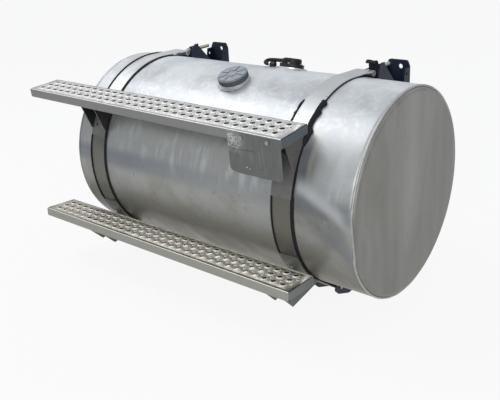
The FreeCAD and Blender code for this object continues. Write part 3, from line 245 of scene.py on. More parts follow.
def on_tank(x, angle, radius):
    """Point at a radius and angle round the tank's axis."""
    turn = math.radians(angle)
    return MIDDLE + Vector((x, radius * math.cos(turn), radius * math.sin(turn)))


def wall_frame(x, angle):
    """Matrix with its origin on the wall and its Z axis pointing straight out."""
    return Matrix.Translation(on_tank(x, angle, TANK_R)) @ Matrix.Rotation(math.radians(angle - 90), 4, "X")


def step_frame(out, angle, pitch, tilt):
    """Matrix of a step's own frame, in front of the left strap, with X along its front edge."""
    corner = Vector((STRAP_XS["left"], -TANK_R - out, TANK_R * math.sin(math.radians(angle))))
    lean = Matrix.Rotation(math.radians(pitch), 4, "X") @ Matrix.Rotation(math.radians(tilt), 4, "Y")
    return Matrix.Translation(MIDDLE + corner) @ lean


def smooth(low, high, value):
    """Smooth rise from 0 at low to 1 at high."""
    share = min(1.0, max(0.0, (value - low) / (high - low)))
    return share * share * (3 - 2 * share)


def hill(value, middle, half):
    """Smooth hill of height 1 that reaches 0 at half its width from the middle."""
    share = abs(value - middle) / half
    return 0.0 if share >= 1 else (1 - share * share) ** 2


# Meshes

def turns(steps, shift=0.0):
    """Angles in radians of even steps round a circle."""
    return [2 * math.pi * (step + shift) / steps for step in range(steps)]


def spin(radius, turn, height=0.0):
    """Point round Z at a radius, an angle in radians and a height."""
    return Vector((radius * math.cos(turn), radius * math.sin(turn), height))


def arc(across, along, radius, start, end, steps):
    """Pairs along a circular arc between two angles in degrees."""
    angles = [math.radians(start + (end - start) * step / steps) for step in range(steps + 1)]
    return [(across + radius * math.cos(angle), along + radius * math.sin(angle)) for angle in angles]


def put(obj):
    """Add an object to the scene."""
    bpy.context.scene.collection.objects.link(obj)


def piece(name, verts, faces, material, body="tank", sharp=35, weld=0.0):
    """Mesh object that rides on a body, with smooth shading between sharp edges."""
    mesh = bpy.data.meshes.new(name)
    mesh.from_pydata([tuple(v) for v in verts], [], faces)
    mesh.validate()
    obj = bpy.data.objects.new(name, mesh)
    put(obj)
    tidy = bmesh.new()
    tidy.from_mesh(mesh)
    if weld:
        bmesh.ops.remove_doubles(tidy, verts=tidy.verts, dist=weld)
    bmesh.ops.recalc_face_normals(tidy, faces=tidy.faces)
    tidy.to_mesh(mesh)
    tidy.free()
    mesh.shade_smooth()
    mesh.set_sharp_from_angle(angle=math.radians(sharp))
    mesh.materials.append(material)
    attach(obj, body)
    return obj


def add_modifier(obj, kind, name, **settings):
    """Modifier with its settings."""
    modifier = obj.modifiers.new(name, kind)
    for key, value in settings.items():
        setattr(modifier, key, value)


def band_faces(rows, columns, closed_columns, closed_rows=False):
    """Quads of a grid whose vertices are stored row by row."""
    faces = []
    for row in range(rows if closed_rows else rows - 1):
        here = row * columns
        below = (row + 1) % rows * columns
        for column in range(columns if closed_columns else columns - 1):
            right = (column + 1) % columns
            faces.append((here + column, here + right, below + right, below + column))
    return faces


def lathe(profile, steps, place):
    """Closed profile of (radius, height) pairs turned round Z and carried to a place."""
    verts = [place @ spin(radius, turn, height) for radius, height in profile for turn in turns(steps)]
    return verts, band_faces(len(profile), steps, True, True)


def join_parts(parts):
    """One list of vertices and one of faces from several."""
    verts, faces = [], []
    for part_verts, part_faces in parts:
        start = len(verts)
        verts += part_verts
        faces += [tuple(start + index for index in face) for face in part_faces]
    return verts, faces


# Dents in the wrapper and the right head, and the wrapper's soft waves

def dent_depth(x, angle):
    """How far the wall is pushed in at a place."""
    low = 180 - angle
    depth = 0.0105 * hill(x, 0.567, 0.070) * hill(low, -9.0, 18.0)
    depth += 0.0066 * hill(x, 0.480, 0.085) * hill(low, 1.0, 13.0)
    crease_x = 0.520 + 0.062 * smooth(-2.0, -22.0, low)
    depth -= 0.0036 * hill(x, crease_x - 0.006, 0.020) * hill(low, -14.0, 13.0)
    depth += 0.0030 * hill(x, 0.400, 0.050) * hill(low, 20.0, 9.0)
    return depth


def wave(x, angle):
    """Soft waves of the thin wrapper between its heads."""
    turn = math.radians(angle)
    spot = Vector((x * 3.2, 1.3 * math.cos(turn), 1.3 * math.sin(turn)))
    along = 1 - smooth(SHELL_END - 0.08, SHELL_END, abs(x))
    return 0.0011 * along * noise.noise(spot * 1.9)


def wall_radius(x, angle, radius):
    """Radius of the real wall at a place."""
    return radius - dent_depth(x, angle) + wave(x, angle)


def hole_axes():
    """The wrapper's holes: a point on each axis, its direction and its radius."""
    filler = wall_frame(FILLER_X, FILLER_ANGLE)
    sender = wall_frame(SENDER_X, SENDER_ANGLE)
    holes = [
        (filler.translation, filler.col[2].xyz, NECK_HOLE_R),
        (sender.translation, sender.col[2].xyz, BOSS_HOLE_R),
        (MIDDLE + Vector((DRAIN_X, 0, -TANK_R)), -Z_AXIS, DRAIN_HOLE_R),
    ]
    for x in PORT_XS:
        holes.append((MIDDLE + Vector((x, PORT_Y, PORT_Z)), Z_AXIS, PORT_HOLE_R))
    return holes


def off_axis(spot, point, axis):
    """How a spot lies from an axis: its offset straight out, and how far it is along."""
    offset = spot - point
    along = offset.dot(axis)
    return offset - axis * along, along


def open_holes(mesh, holes):
    """Take out the faces over each hole and draw the edge that is left onto its circle."""
    work = bmesh.new()
    work.from_mesh(mesh)
    for point, axis, radius in holes:
        inside = set()
        for vert in work.verts:
            across, along = off_axis(vert.co, point, axis)
            if abs(along) < HOLE_DEEP and across.length < radius:
                inside.add(vert)
        lost = [face for face in work.faces if any(vert in inside for vert in face.verts)]
        edge = {vert for face in lost for vert in face.verts} - inside
        bmesh.ops.delete(work, geom=lost, context="FACES")
        for vert in edge:
            if vert.is_valid and vert.is_boundary:
                across, _ = off_axis(vert.co, point, axis)
                vert.co -= across * (1 - radius / across.length)
    work.to_mesh(mesh)
    work.free()


def make_shell(material):
    """Wrapper with its dents and its holes."""
    verts = []
    for row in range(SHELL_STEPS + 1):
        x = -SHELL_END + 2 * SHELL_END * row / SHELL_STEPS
        for step in range(ROUND_STEPS):
            angle = 360.0 * step / ROUND_STEPS
            verts.append(on_tank(x, angle, wall_radius(x, angle, TANK_R)))
    faces = band_faces(SHELL_STEPS + 1, ROUND_STEPS, True)
    shell = piece("shell_wrapper", verts, faces, material, sharp=60)
    open_holes(shell.data, hole_axes())
    add_modifier(shell, "SOLIDIFY", "wall", thickness=SHELL_T, offset=-1, use_quality_normals=True)
    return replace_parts(shell, "tank_shell")


def head_profile():
    """The head's section as (radius, distance along the axis) pairs, from its back to its face."""
    skirt_r = TANK_R - SHELL_T - 0.0003
    bend_x = HALF_LEN - KNUCKLE_R
    bend_r = skirt_r - KNUCKLE_R
    points = [(0.0, HALF_LEN - HEAD_T), (0.15, HALF_LEN - HEAD_T)]
    points += arc(bend_r, bend_x, KNUCKLE_R - HEAD_T, 90, 0, 3)
    points += [(skirt_r - HEAD_T, bend_x - SKIRT_LEN), (skirt_r, bend_x - SKIRT_LEN)]
    points += [(skirt_r, bend_x), (skirt_r - 0.0006, bend_x + 0.0042)]
    points += arc(bend_r, bend_x, KNUCKLE_R, 44, 90, 7)
    shares = (0.97, 0.93, 0.86, 0.76, 0.64, 0.50, 0.36, 0.22, 0.10, 0.0)
    return points + [(bend_r * share, HALF_LEN) for share in shares]


def make_head(side, material):
    """Flanged head; the right one shares the wrapper's dent at its rim."""
    sign = 1 if side == "right" else -1
    profile = head_profile()
    verts = []
    for radius, along in profile:
        rim = smooth(0.80, 0.99, radius / TANK_R)
        for step in range(ROUND_STEPS):
            angle = 360.0 * step / ROUND_STEPS
            x = sign * along
            pushed = dent_depth(x, angle) * rim
            turn = math.radians(angle)
            spot = Vector((radius * math.cos(turn) * 7, radius * math.sin(turn) * 4, sign * 3.0))
            flat = 0.0008 * noise.noise(spot) * (1 - smooth(0.9, 1.0, radius / TANK_R))
            verts.append(on_tank(x + sign * (flat - 0.35 * pushed), angle, max(radius - pushed, 0.0)))
    faces = band_faces(len(profile), ROUND_STEPS, True)
    head = piece("head_" + side + "_skin", verts, faces, material, sharp=60)
    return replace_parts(head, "head_" + side)


def make_weld_bead(side, material):
    """Rippled weld bead between the wrapper's end and the head."""
    sign = 1 if side == "right" else -1
    verts = []
    for step in range(HEAD_BEAD_STEPS):
        angle = 360.0 * step / HEAD_BEAD_STEPS
        turn = math.radians(angle)
        ripple = 0.35 * math.sin(2 * math.pi * step / 4.5)
        uneven = noise.noise(Vector((math.cos(turn) * 9, math.sin(turn) * 9, sign)))
        size = HEAD_BEAD * (1 + 0.12 * uneven + 0.10 * ripple)
        for along, out in arc(SHELL_END + 0.0022, TANK_R - 0.0028, size, 125, -85, 6):
            x = sign * along
            verts.append(on_tank(x, angle, out - dent_depth(x, angle)))
    faces = band_faces(HEAD_BEAD_STEPS, 7, True, True)
    return piece("head_weld_" + side, verts, faces, material, sharp=80)


# Grip steps

def grip_places(width, depth):
    """Middles of the large raised holes and of the small ones between them."""
    pitch = (width - 2 * GRIP_END) / (GRIP_COLUMNS - 1)
    large, small = [], []
    for row in range(GRIP_ROWS):
        y = depth / 2 + (row - (GRIP_ROWS - 1) / 2) * GRIP_ROW_PITCH
        for column in range(GRIP_COLUMNS):
            x = GRIP_END + column * pitch
            large.append(Vector((x, y)))
            if row < GRIP_ROWS - 1:
                small.append(Vector((x + pitch / 2, y + GRIP_ROW_PITCH / 2)))
    return large, small


def circle_points(middle, radius, steps):
    """Points of a circle in the plane."""
    return [middle + spin(radius, turn).xy for turn in turns(steps, 0.5)]


def holed_sheet(corners, circles, height, origin, inner=()):
    """Flat sheet with round holes, as vertices and triangles."""
    points = list(corners)
    edges = [(index, (index + 1) % len(corners)) for index in range(len(corners))]
    points += list(inner)
    for middle, radius, steps in circles:
        start = len(points)
        points += circle_points(middle, radius, steps)
        edges += [(start + step, start + (step + 1) % steps) for step in range(steps)]
    flat, _, triangles, _, _, _ = delaunay_2d_cdt(points, edges, [], 1, 1e-6)
    cell = {}
    for middle, radius, _ in circles:
        cell.setdefault((int(middle.x / HOLE_CELL), int(middle.y / HOLE_CELL)), []).append((middle, radius))
    kept = []
    for triangle in triangles:
        centre = (flat[triangle[0]] + flat[triangle[1]] + flat[triangle[2]]) / 3
        column, row = int(centre.x / HOLE_CELL), int(centre.y / HOLE_CELL)
        near = [hole for i in (-1, 0, 1) for j in (-1, 0, 1) for hole in cell.get((column + i, row + j), [])]
        if all((centre - middle).length > radius * 0.97 for middle, radius in near):
            kept.append(tuple(triangle))
    return [origin + Vector((point.x, point.y, height)) for point in flat], kept


def crater(middle, origin, rings, steps, teeth):
    """Raised round hole: rings of (radius, height, tooth height) from its foot over its rim and down."""
    verts = []
    for radius, height, tooth in rings:
        for turn in turns(steps, 0.5):
            x = middle.x + radius * math.cos(turn)
            y = middle.y + radius * math.sin(turn)
            verts.append(origin + Vector((x, y, height + tooth * math.cos(teeth * turn))))
    return verts, band_faces(len(rings), steps, True)


def tread_parts(origin):
    """Top sheet, underside and all raised holes of a tread."""
    large, small = grip_places(STEP_LEN, STEP_D)
    near, far = STEP_BEND_R, STEP_D - STEP_BEND_R
    corners = [Vector((0, near)), Vector((STEP_LEN, near)), Vector((STEP_LEN, far)), Vector((0, far))]
    feet = [(spot, CRATER_FOOT_R, 24) for spot in large] + [(spot, STUD_FOOT_R, 12) for spot in small]
    holes = [(spot, CRATER_HOLE_R, 24) for spot in large] + [(spot, STUD_HOLE_R, 12) for spot in small]
    parts = [
        holed_sheet(corners, feet, 0.0, origin),
        holed_sheet(corners, holes, -STEP_T, origin),
    ]
    large_rings = [
        (CRATER_FOOT_R, 0.0, 0.0),
        ((CRATER_FOOT_R + CRATER_RIM_R) / 2, CRATER_H * 0.6, 0.0),
        (CRATER_RIM_R, CRATER_H * 0.95, 0.0004),
        (CRATER_HOLE_R + 0.0004, CRATER_H * 0.85, 0.0004),
        (CRATER_HOLE_R, 0.0, 0.0),
        (CRATER_HOLE_R, -STEP_T, 0.0),
    ]
    small_rings = [
        (STUD_FOOT_R, 0.0, 0.0),
        (STUD_RIM_R + 0.0006, STUD_H * 0.8, 0.0),
        (STUD_RIM_R, STUD_H, 0.0003),
        (STUD_HOLE_R, STUD_H * 0.5, 0.0),
        (STUD_HOLE_R, -STEP_T, 0.0),
    ]
    parts += [crater(spot, origin, large_rings, 24, CRATER_TEETH) for spot in large]
    parts += [crater(spot, origin, small_rings, 12, 4) for spot in small]
    return parts


def apron_outline(mirrored):
    """Section of one folded side of a step: out from the tread, down, and in along its lip."""
    outer = arc(STEP_BEND_R, -STEP_BEND_R, STEP_BEND_R, 90, 180, 4)
    inner = arc(STEP_BEND_R, -STEP_BEND_R, STEP_BEND_R - STEP_T, 90, 180, 4)
    if mirrored:
        outer.append((0.0, -STEP_H))
        inner.append((STEP_T, -STEP_H))
        return [(STEP_D - y, z) for y, z in outer + inner[::-1]]
    outer += arc(STEP_T, -STEP_H + STEP_T, STEP_T, 180, 270, 3)
    outer.append((STEP_LIP, -STEP_H))
    inner += [(STEP_T, -STEP_H + STEP_T), (STEP_LIP, -STEP_H + STEP_T)]
    return outer + inner[::-1]


def extruded(outline, origin, width):
    """Closed outline of (y, z) pairs drawn along X, with its ends filled."""
    count = len(outline)
    verts = [origin + Vector((x, y, z)) for x in (0.0, width) for y, z in outline]
    faces = band_faces(2, count, True)
    for start in (0, count):
        for index in range(count // 2 - 1):
            near = start + index
            far = start + count - 1 - index
            faces.append((near, near + 1, far - 1, far))
    return verts, faces


def make_step(name, place, left, twist, materials):
    """Grip step with raised holes, folded aprons and welded end plates."""
    origin = Vector((left, 0, 0))
    parts = tread_parts(origin)
    parts += [extruded(apron_outline(mirrored), origin, STEP_LEN) for mirrored in (False, True)]
    inset = 0.0003
    low_y, high_y = STEP_T, STEP_D - STEP_T
    outline = [(low_y, -STEP_T), (high_y, -STEP_T), (high_y, -STEP_H), (low_y, -STEP_H)]
    for x in (inset, STEP_LEN - STEP_T - inset):
        end_verts = [origin + Vector((x + dx, y, z)) for dx in (0.0, STEP_T) for y, z in outline]
        parts.append((end_verts, band_faces(2, 4, True) + [(0, 1, 2, 3), (4, 5, 6, 7)]))
    verts, faces = join_parts(parts)
    step = piece(name + "_grip", verts, faces, materials[0], sharp=28, weld=0.00001)
    for material in materials[1:]:
        step.data.materials.append(material)
    # Faces under the tread take the second material, painted shade; the end plates' outward faces take the
    # third, their own painted shade
    for face in step.data.polygons:
        spot = face.center
        if spot.z >= -0.0004:
            continue
        if 0.0002 < min(spot.x - left, left + STEP_LEN - spot.x) < 0.004:
            face.material_index = 2 if abs(face.normal.x) > 0.9 else 1
        elif STEP_T * 0.7 < spot.y < STEP_D - STEP_T * 0.7:
            face.material_index = 1
    for vert in step.data.vertices:
        share_x = (vert.co.x - left) / STEP_LEN
        lift = twist * (2 * share_x - 1) * (2 * vert.co.y / STEP_D - 1)
        vert.co = place @ (vert.co + Vector((0, 0, lift)))
    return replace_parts(step, name)


def plate_bow(x, z):
    """How far the sheet stands out from its flat face: its lower left corner curls a little."""
    corner = smooth(0.055, 0.0, x) * smooth(-0.075, -0.122, z)
    low = smooth(-0.10, -0.125, z) * (0.5 + 0.5 * math.sin(x * 46))
    return -0.0022 * corner - 0.0007 * low - 0.0006 * hill(x, 0.095, 0.08) * hill(z, -0.06, 0.05)


def make_plate(place, material):
    """Sheet plate with an uneven lower edge, screwed to the front of the upper step."""
    corner = Vector((UPPER_STEP_LEFT + STEP_LEN - PLATE_LEN, 0, PLATE_TOP))
    outline = [Vector(pair) for pair in PLATE_OUTLINE]
    edge = []
    for index, spot in enumerate(outline):
        after = outline[(index + 1) % len(outline)]
        count = max(1, round((after - spot).length / PLATE_GRID))
        edge += [spot.lerp(after, step / count) for step in range(count)]
    circles = [(Vector(spot), PLATE_SCREW_R, 14) for spot in PLATE_SCREWS]
    circles += [(Vector(spot), PLATE_HOLE_R, 12) for spot in PLATE_HOLES]
    inner = []
    for column in range(1, int(PLATE_LEN / PLATE_GRID)):
        for row in range(1, int(PLATE_GRID_DEEP / PLATE_GRID) + 1):
            spot = Vector((column * PLATE_GRID, -row * PLATE_GRID))
            if all((spot - middle).length > radius + 0.003 for middle, radius, _ in circles):
                inner.append(spot)
    flat, faces = holed_sheet(edge, circles, 0.0, Vector(), inner)
    verts = [place @ (corner + Vector((v.x, -PLATE_T + plate_bow(v.x, v.y), v.y))) for v in flat]
    plate = piece("step_front_plate", verts, faces, material, sharp=50)
    add_modifier(plate, "SOLIDIFY", "sheet", thickness=PLATE_T - 0.0001, offset=-1, use_quality_normals=True)
    bend = math.radians(50)
    add_modifier(plate, "BEVEL", "edges", width=0.0004, segments=2, limit_method="ANGLE", angle_limit=bend)
    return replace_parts(plate, "front_plate")


# Rubber strips

def left_edge(side, above):
    """How far a strip reaches past the strap's left edge, and how high its lip stands."""
    if side == "left":
        return 0.0062 + 0.0008 * math.sin(above * 0.21), 0.0066
    wavy = 0.5 + 0.5 * math.sin(above * 1.1 + math.sin(above * 0.7))
    high = smooth(63.5, 61.5, above) * smooth(46.5, 49.0, above)
    low = smooth(12.0, 9.0, above)
    return 0.0015 + high * (0.0035 + 0.0030 * wavy) + 0.0045 * low, 0.0002 + high * 0.0062 + low * 0.0060


def right_edge(side, above):
    """How far a strip reaches past the strap's right edge, how high it bunches there, and its lean."""
    if side == "left":
        return 0.0066, 0.0012, 0.0
    crumple = smooth(65.5, 62.0, above) * smooth(35.5, 39.5, above)
    ripple = 0.5 + 0.5 * math.sin(above * 0.72 + 0.9 * math.sin(above * 0.43))
    right = 0.0018 + 0.0044 * smooth(40.0, 36.0, above) + 0.0034 * smooth(12.0, 9.0, above)
    right += crumple * (0.0042 + 0.0062 * ripple) + 0.0088 * hill(above, 42.5, 4.5)
    bunch = crumple * (0.0060 + 0.0030 * ripple) + 0.0020 * hill(above, 42.5, 4.0)
    return right, bunch, crumple * (0.0066 - 0.0034 * ripple)


def make_liner(side, material):
    """Rubber strip under a strap, with its lips and the bunched edge of the right one."""
    middle = STRAP_XS[side]
    if side == "right":
        start = math.degrees(math.acos((CURL_Y + LINER_T) / LINER_IN))
    else:
        start = LINER_TOP_ANGLE
    steps = 340
    columns = 14
    verts = []
    for step in range(steps + 1):
        angle = start + (LINER_END_ANGLE - start) * step / steps
        left, lip = left_edge(side, 180 - angle)
        right, bunch, lean = right_edge(side, 180 - angle)
        section = [
            (-STRAP_HALF_W - left, 0.0002),
            (-STRAP_HALF_W - left, LINER_T + lip * 0.7),
            (-STRAP_HALF_W - left * 0.6, LINER_T + lip),
            (-STRAP_HALF_W - 0.0006, LINER_T + lip * 0.9),
            (-STRAP_HALF_W - 0.0003, LINER_T),
            (STRAP_HALF_W, LINER_T),
            (STRAP_HALF_W + 0.0006, LINER_T + bunch * 0.75),
            (STRAP_HALF_W + 0.0004 - lean, LINER_T + bunch),
            (STRAP_HALF_W + 0.0012 - lean * 0.5, LINER_T + bunch * 1.4),
            (STRAP_HALF_W + right * 0.6, LINER_T + bunch * 1.1),
            (STRAP_HALF_W + right, LINER_T * 0.8 + bunch * 0.4),
            (STRAP_HALF_W + right, 0.0002),
            (STRAP_HALF_W - 0.004, 0.0),
            (-STRAP_HALF_W + 0.004, 0.0),
        ]
        for across, out in section:
            x = middle + across
            verts.append(on_tank(x, angle, LINER_IN + out - dent_depth(x, angle)))
    faces = band_faces(steps + 1, columns, True)
    faces.append(tuple(range(columns)))
    faces.append(tuple(steps * columns + index for index in range(columns)))
    parts = [(verts, faces)]
    if side == "right":
        parts.append(curl_part(middle))
    verts, faces = join_parts(parts)
    liner = piece("liner_" + side, verts, faces, material, sharp=50)
    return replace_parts(liner, "strap_liner_" + side)


def curl_part(middle):
    """Loose end of the right strip, which stands up and curls forward."""
    half_t = LINER_T / 2
    foot_z = math.sqrt(LINER_IN ** 2 - CURL_Y ** 2)
    path = []
    for step in range(7):
        share = step / 6
        bow = 0.0015 * math.sin(share * math.pi)
        path.append((CURL_Y + half_t + bow, foot_z + share * (CURL_TOP_Z - foot_z)))
    path += arc(CURL_Y + LINER_T - CURL_R, CURL_TOP_Z, CURL_R - half_t, 0, CURL_SWEEP, 14)[1:]
    columns = 12
    verts = []
    for index, (y, z) in enumerate(path):
        before = path[max(index - 1, 0)]
        after = path[min(index + 1, len(path) - 1)]
        along = Vector((after[0] - before[0], after[1] - before[1])).normalized()
        for reach in (half_t, -half_t):
            for column in range(columns):
                share = column / (columns - 1) if reach > 0 else 1 - column / (columns - 1)
                x = middle + CURL_LEFT + CURL_W * share
                sway = 0.0012 * math.sin(share * 7 + index * 0.5)
                verts.append(MIDDLE + Vector((x, y + along.y * reach, z - along.x * reach + sway)))
    faces = band_faces(len(path), 2 * columns, True)
    last = (len(path) - 1) * 2 * columns
    faces.append(tuple(last + index for index in range(2 * columns)))
    return verts, faces


# Bolts' threads and the loom

def thread_part(place, radius, length, pitch):
    """Helical ridge round the Z axis of a place."""
    steps = 20
    count = int(length / pitch * steps)
    ridge = pitch * 0.42
    verts = []
    for index in range(count + 1):
        turn = 2 * math.pi * index / steps
        rise = length * index / count
        fade = min(1.0, index / steps, (count - index) / steps)
        for out, shift in ((-THREAD_SINK, -ridge), (THREAD_DEPTH * fade, 0.0), (-THREAD_SINK, ridge)):
            verts.append(place @ spin(radius + out, turn, rise + shift))
    return verts, band_faces(count + 1, 3, False)


def weld_part(place, radius, size):
    """Rippled bead where a fitting that stands along a place's Z axis meets the wrapper."""
    axis = place.col[2].xyz
    steps = 240
    verts = []
    for step, turn in enumerate(turns(steps)):
        out = place.col[0].xyz * math.cos(turn) + place.col[1].xyz * math.sin(turn)
        spot = place.translation + out * radius - MIDDLE
        flat = Vector((0, spot.y, spot.z))
        along = flat.dot(axis)
        spot += axis * (math.sqrt(along ** 2 - flat.length_squared + TANK_R ** 2) - along)
        bead = size * (1 + 0.14 * math.sin(step * 1.25) + 0.12 * noise.noise(spot * 90))
        for lean in turns(6):
            verts.append(MIDDLE + spot + out * bead * math.cos(lean) + axis * bead * math.sin(lean))
    return verts, band_faces(steps, 6, True, True)


def make_fitting_welds(material):
    """Weld beads round the fittings on the wrapper."""
    parts = [
        weld_part(wall_frame(FILLER_X, FILLER_ANGLE), COLLAR_R + BEAD_GAP, FITTING_BEAD),
        weld_part(wall_frame(SENDER_X, SENDER_ANGLE), BOSS_R + BEAD_GAP, FITTING_BEAD),
    ]
    for x in PORT_XS:
        place = Matrix.Translation(MIDDLE + Vector((x, PORT_Y, PORT_Z)))
        parts.append(weld_part(place, PORT_WELD_R, PORT_BEAD))
    verts, faces = join_parts(parts)
    return piece("fitting_welds", verts, faces, material, sharp=80)


def make_bolt_threads(material):
    """Threads on both strap bolts, in front of and behind the nuts."""
    pin_z = math.sqrt((TANK_R + TOP_PIN_OUT) ** 2 - TOP_PIN_Y ** 2)
    turn = Matrix.Rotation(math.radians(-90), 4, "X")
    parts = []
    spans = ((THREAD_FRONT, HORN_WALL_BACK - 0.002), (THREAD_BACK, TOP_PIN_Y + BOLT_LEN - 0.0015))
    for x in STRAP_XS.values():
        for start, end in spans:
            place = Matrix.Translation(MIDDLE + Vector((x, start, pin_z))) @ turn
            parts.append(thread_part(place, BOLT_R, end - start, THREAD_PITCH))
    verts, faces = join_parts(parts)
    return piece("strap_bolt_threads", verts, faces, material, sharp=60)


def loom_line(place):
    """Points along the loom's smooth line."""
    curve = bpy.data.curves.new("loom_line", "CURVE")
    curve.dimensions = "3D"
    curve.resolution_u = 24
    spline = curve.splines.new("NURBS")
    spline.points.add(len(LOOM_ROUTE) - 1)
    for point, spot in zip(spline.points, LOOM_ROUTE):
        point.co = (*(place @ Vector(spot)), 1.0)
    spline.order_u = 3
    spline.use_endpoint_u = True
    line = bpy.data.objects.new("loom_line", curve)
    mesh = bpy.data.meshes.new_from_object(line)
    points = [vert.co.copy() for vert in mesh.vertices]
    bpy.data.objects.remove(line)
    bpy.data.curves.remove(curve)
    bpy.data.meshes.remove(mesh)
    return points


def along_line(points, spacing):
    """The same line at an even spacing, and its length."""
    lengths = [0.0]
    for before, after in zip(points, points[1:]):
        lengths.append(lengths[-1] + (after - before).length)
    count = round(lengths[-1] / spacing)
    spots = []
    index = 0
    for step in range(count + 1):
        want = lengths[-1] * step / count
        while index < len(points) - 2 and lengths[index + 1] < want:
            index += 1
        share = (want - lengths[index]) / (lengths[index + 1] - lengths[index])
        spots.append(points[index].lerp(points[index + 1], share))
    return spots, lengths[-1]


def clear_reach(spots, index, out, radius):
    """How far the skin stands from the line: less inside a bend, so that it never meets itself."""
    for other in range(max(index - LOOM_FAR, 0), min(index + LOOM_FAR + 1, len(spots))):
        apart = spots[other] - spots[index]
        inward = apart.dot(out)
        if abs(other - index) > LOOM_NEAR and inward > 0:
            radius = min(radius, LOOM_PINCH * apart.length_squared / (2 * inward))
    return radius


def make_loom(material, pale):
    """Corrugated sleeve that doubles back to its plug beside the sender."""
    place = wall_frame(SENDER_X, SENDER_ANGLE)
    points = loom_line(place)
    spots, length = along_line(points, LOOM_RIB / LOOM_RIB_STEPS)
    columns = 20
    last = len(spots) - 1
    across = (points[1] - points[0]).normalized().orthogonal().normalized()
    verts = []
    for index, spot in enumerate(spots):
        along = (spots[min(index + LOOM_NEAR, last)] - spots[max(index - LOOM_NEAR, 0)]).normalized()
        across = (across - along * across.dot(along)).normalized()
        upward = along.cross(across)
        dip = 0.5 - 0.5 * math.cos(2 * math.pi * index / LOOM_RIB_STEPS)
        radius = LOOM_R - LOOM_GROOVE * dip ** 2
        for turn in turns(columns):
            out = across * math.cos(turn) + upward * math.sin(turn)
            verts.append(spot + out * clear_reach(spots, index, out, radius))
    faces = band_faces(len(spots), columns, True)
    faces += [tuple(start + column for column in range(columns)) for start in (0, last * columns)]
    loom = piece("loom_corrugated", verts, faces, material, sharp=70)
    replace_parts(loom, "loom_sleeve")
    turned = (points[-1] - points[-2]).to_track_quat("Z", "Y").to_matrix().to_4x4()
    seat = Matrix.Translation(points[-1] - turned.col[2].xyz * COLLAR_BACK) @ turned
    ring_verts, ring_faces = lathe(COLLAR_PROFILE, 28, seat)
    ring = piece("loom_collar", ring_verts, ring_faces, pale, sharp=40)


# Materials

def grow(tree, kind, inputs=(), **settings):
    """New node with its settings and its inputs, which are values or sockets."""
    made = tree.nodes.new(kind)
    for key, value in settings.items():
        setattr(made, key, value)
    for key, value in dict(inputs).items():
        if isinstance(value, bpy.types.NodeSocket):
            tree.links.new(value, made.inputs[key])
        else:
            made.inputs[key].default_value = value
    return made


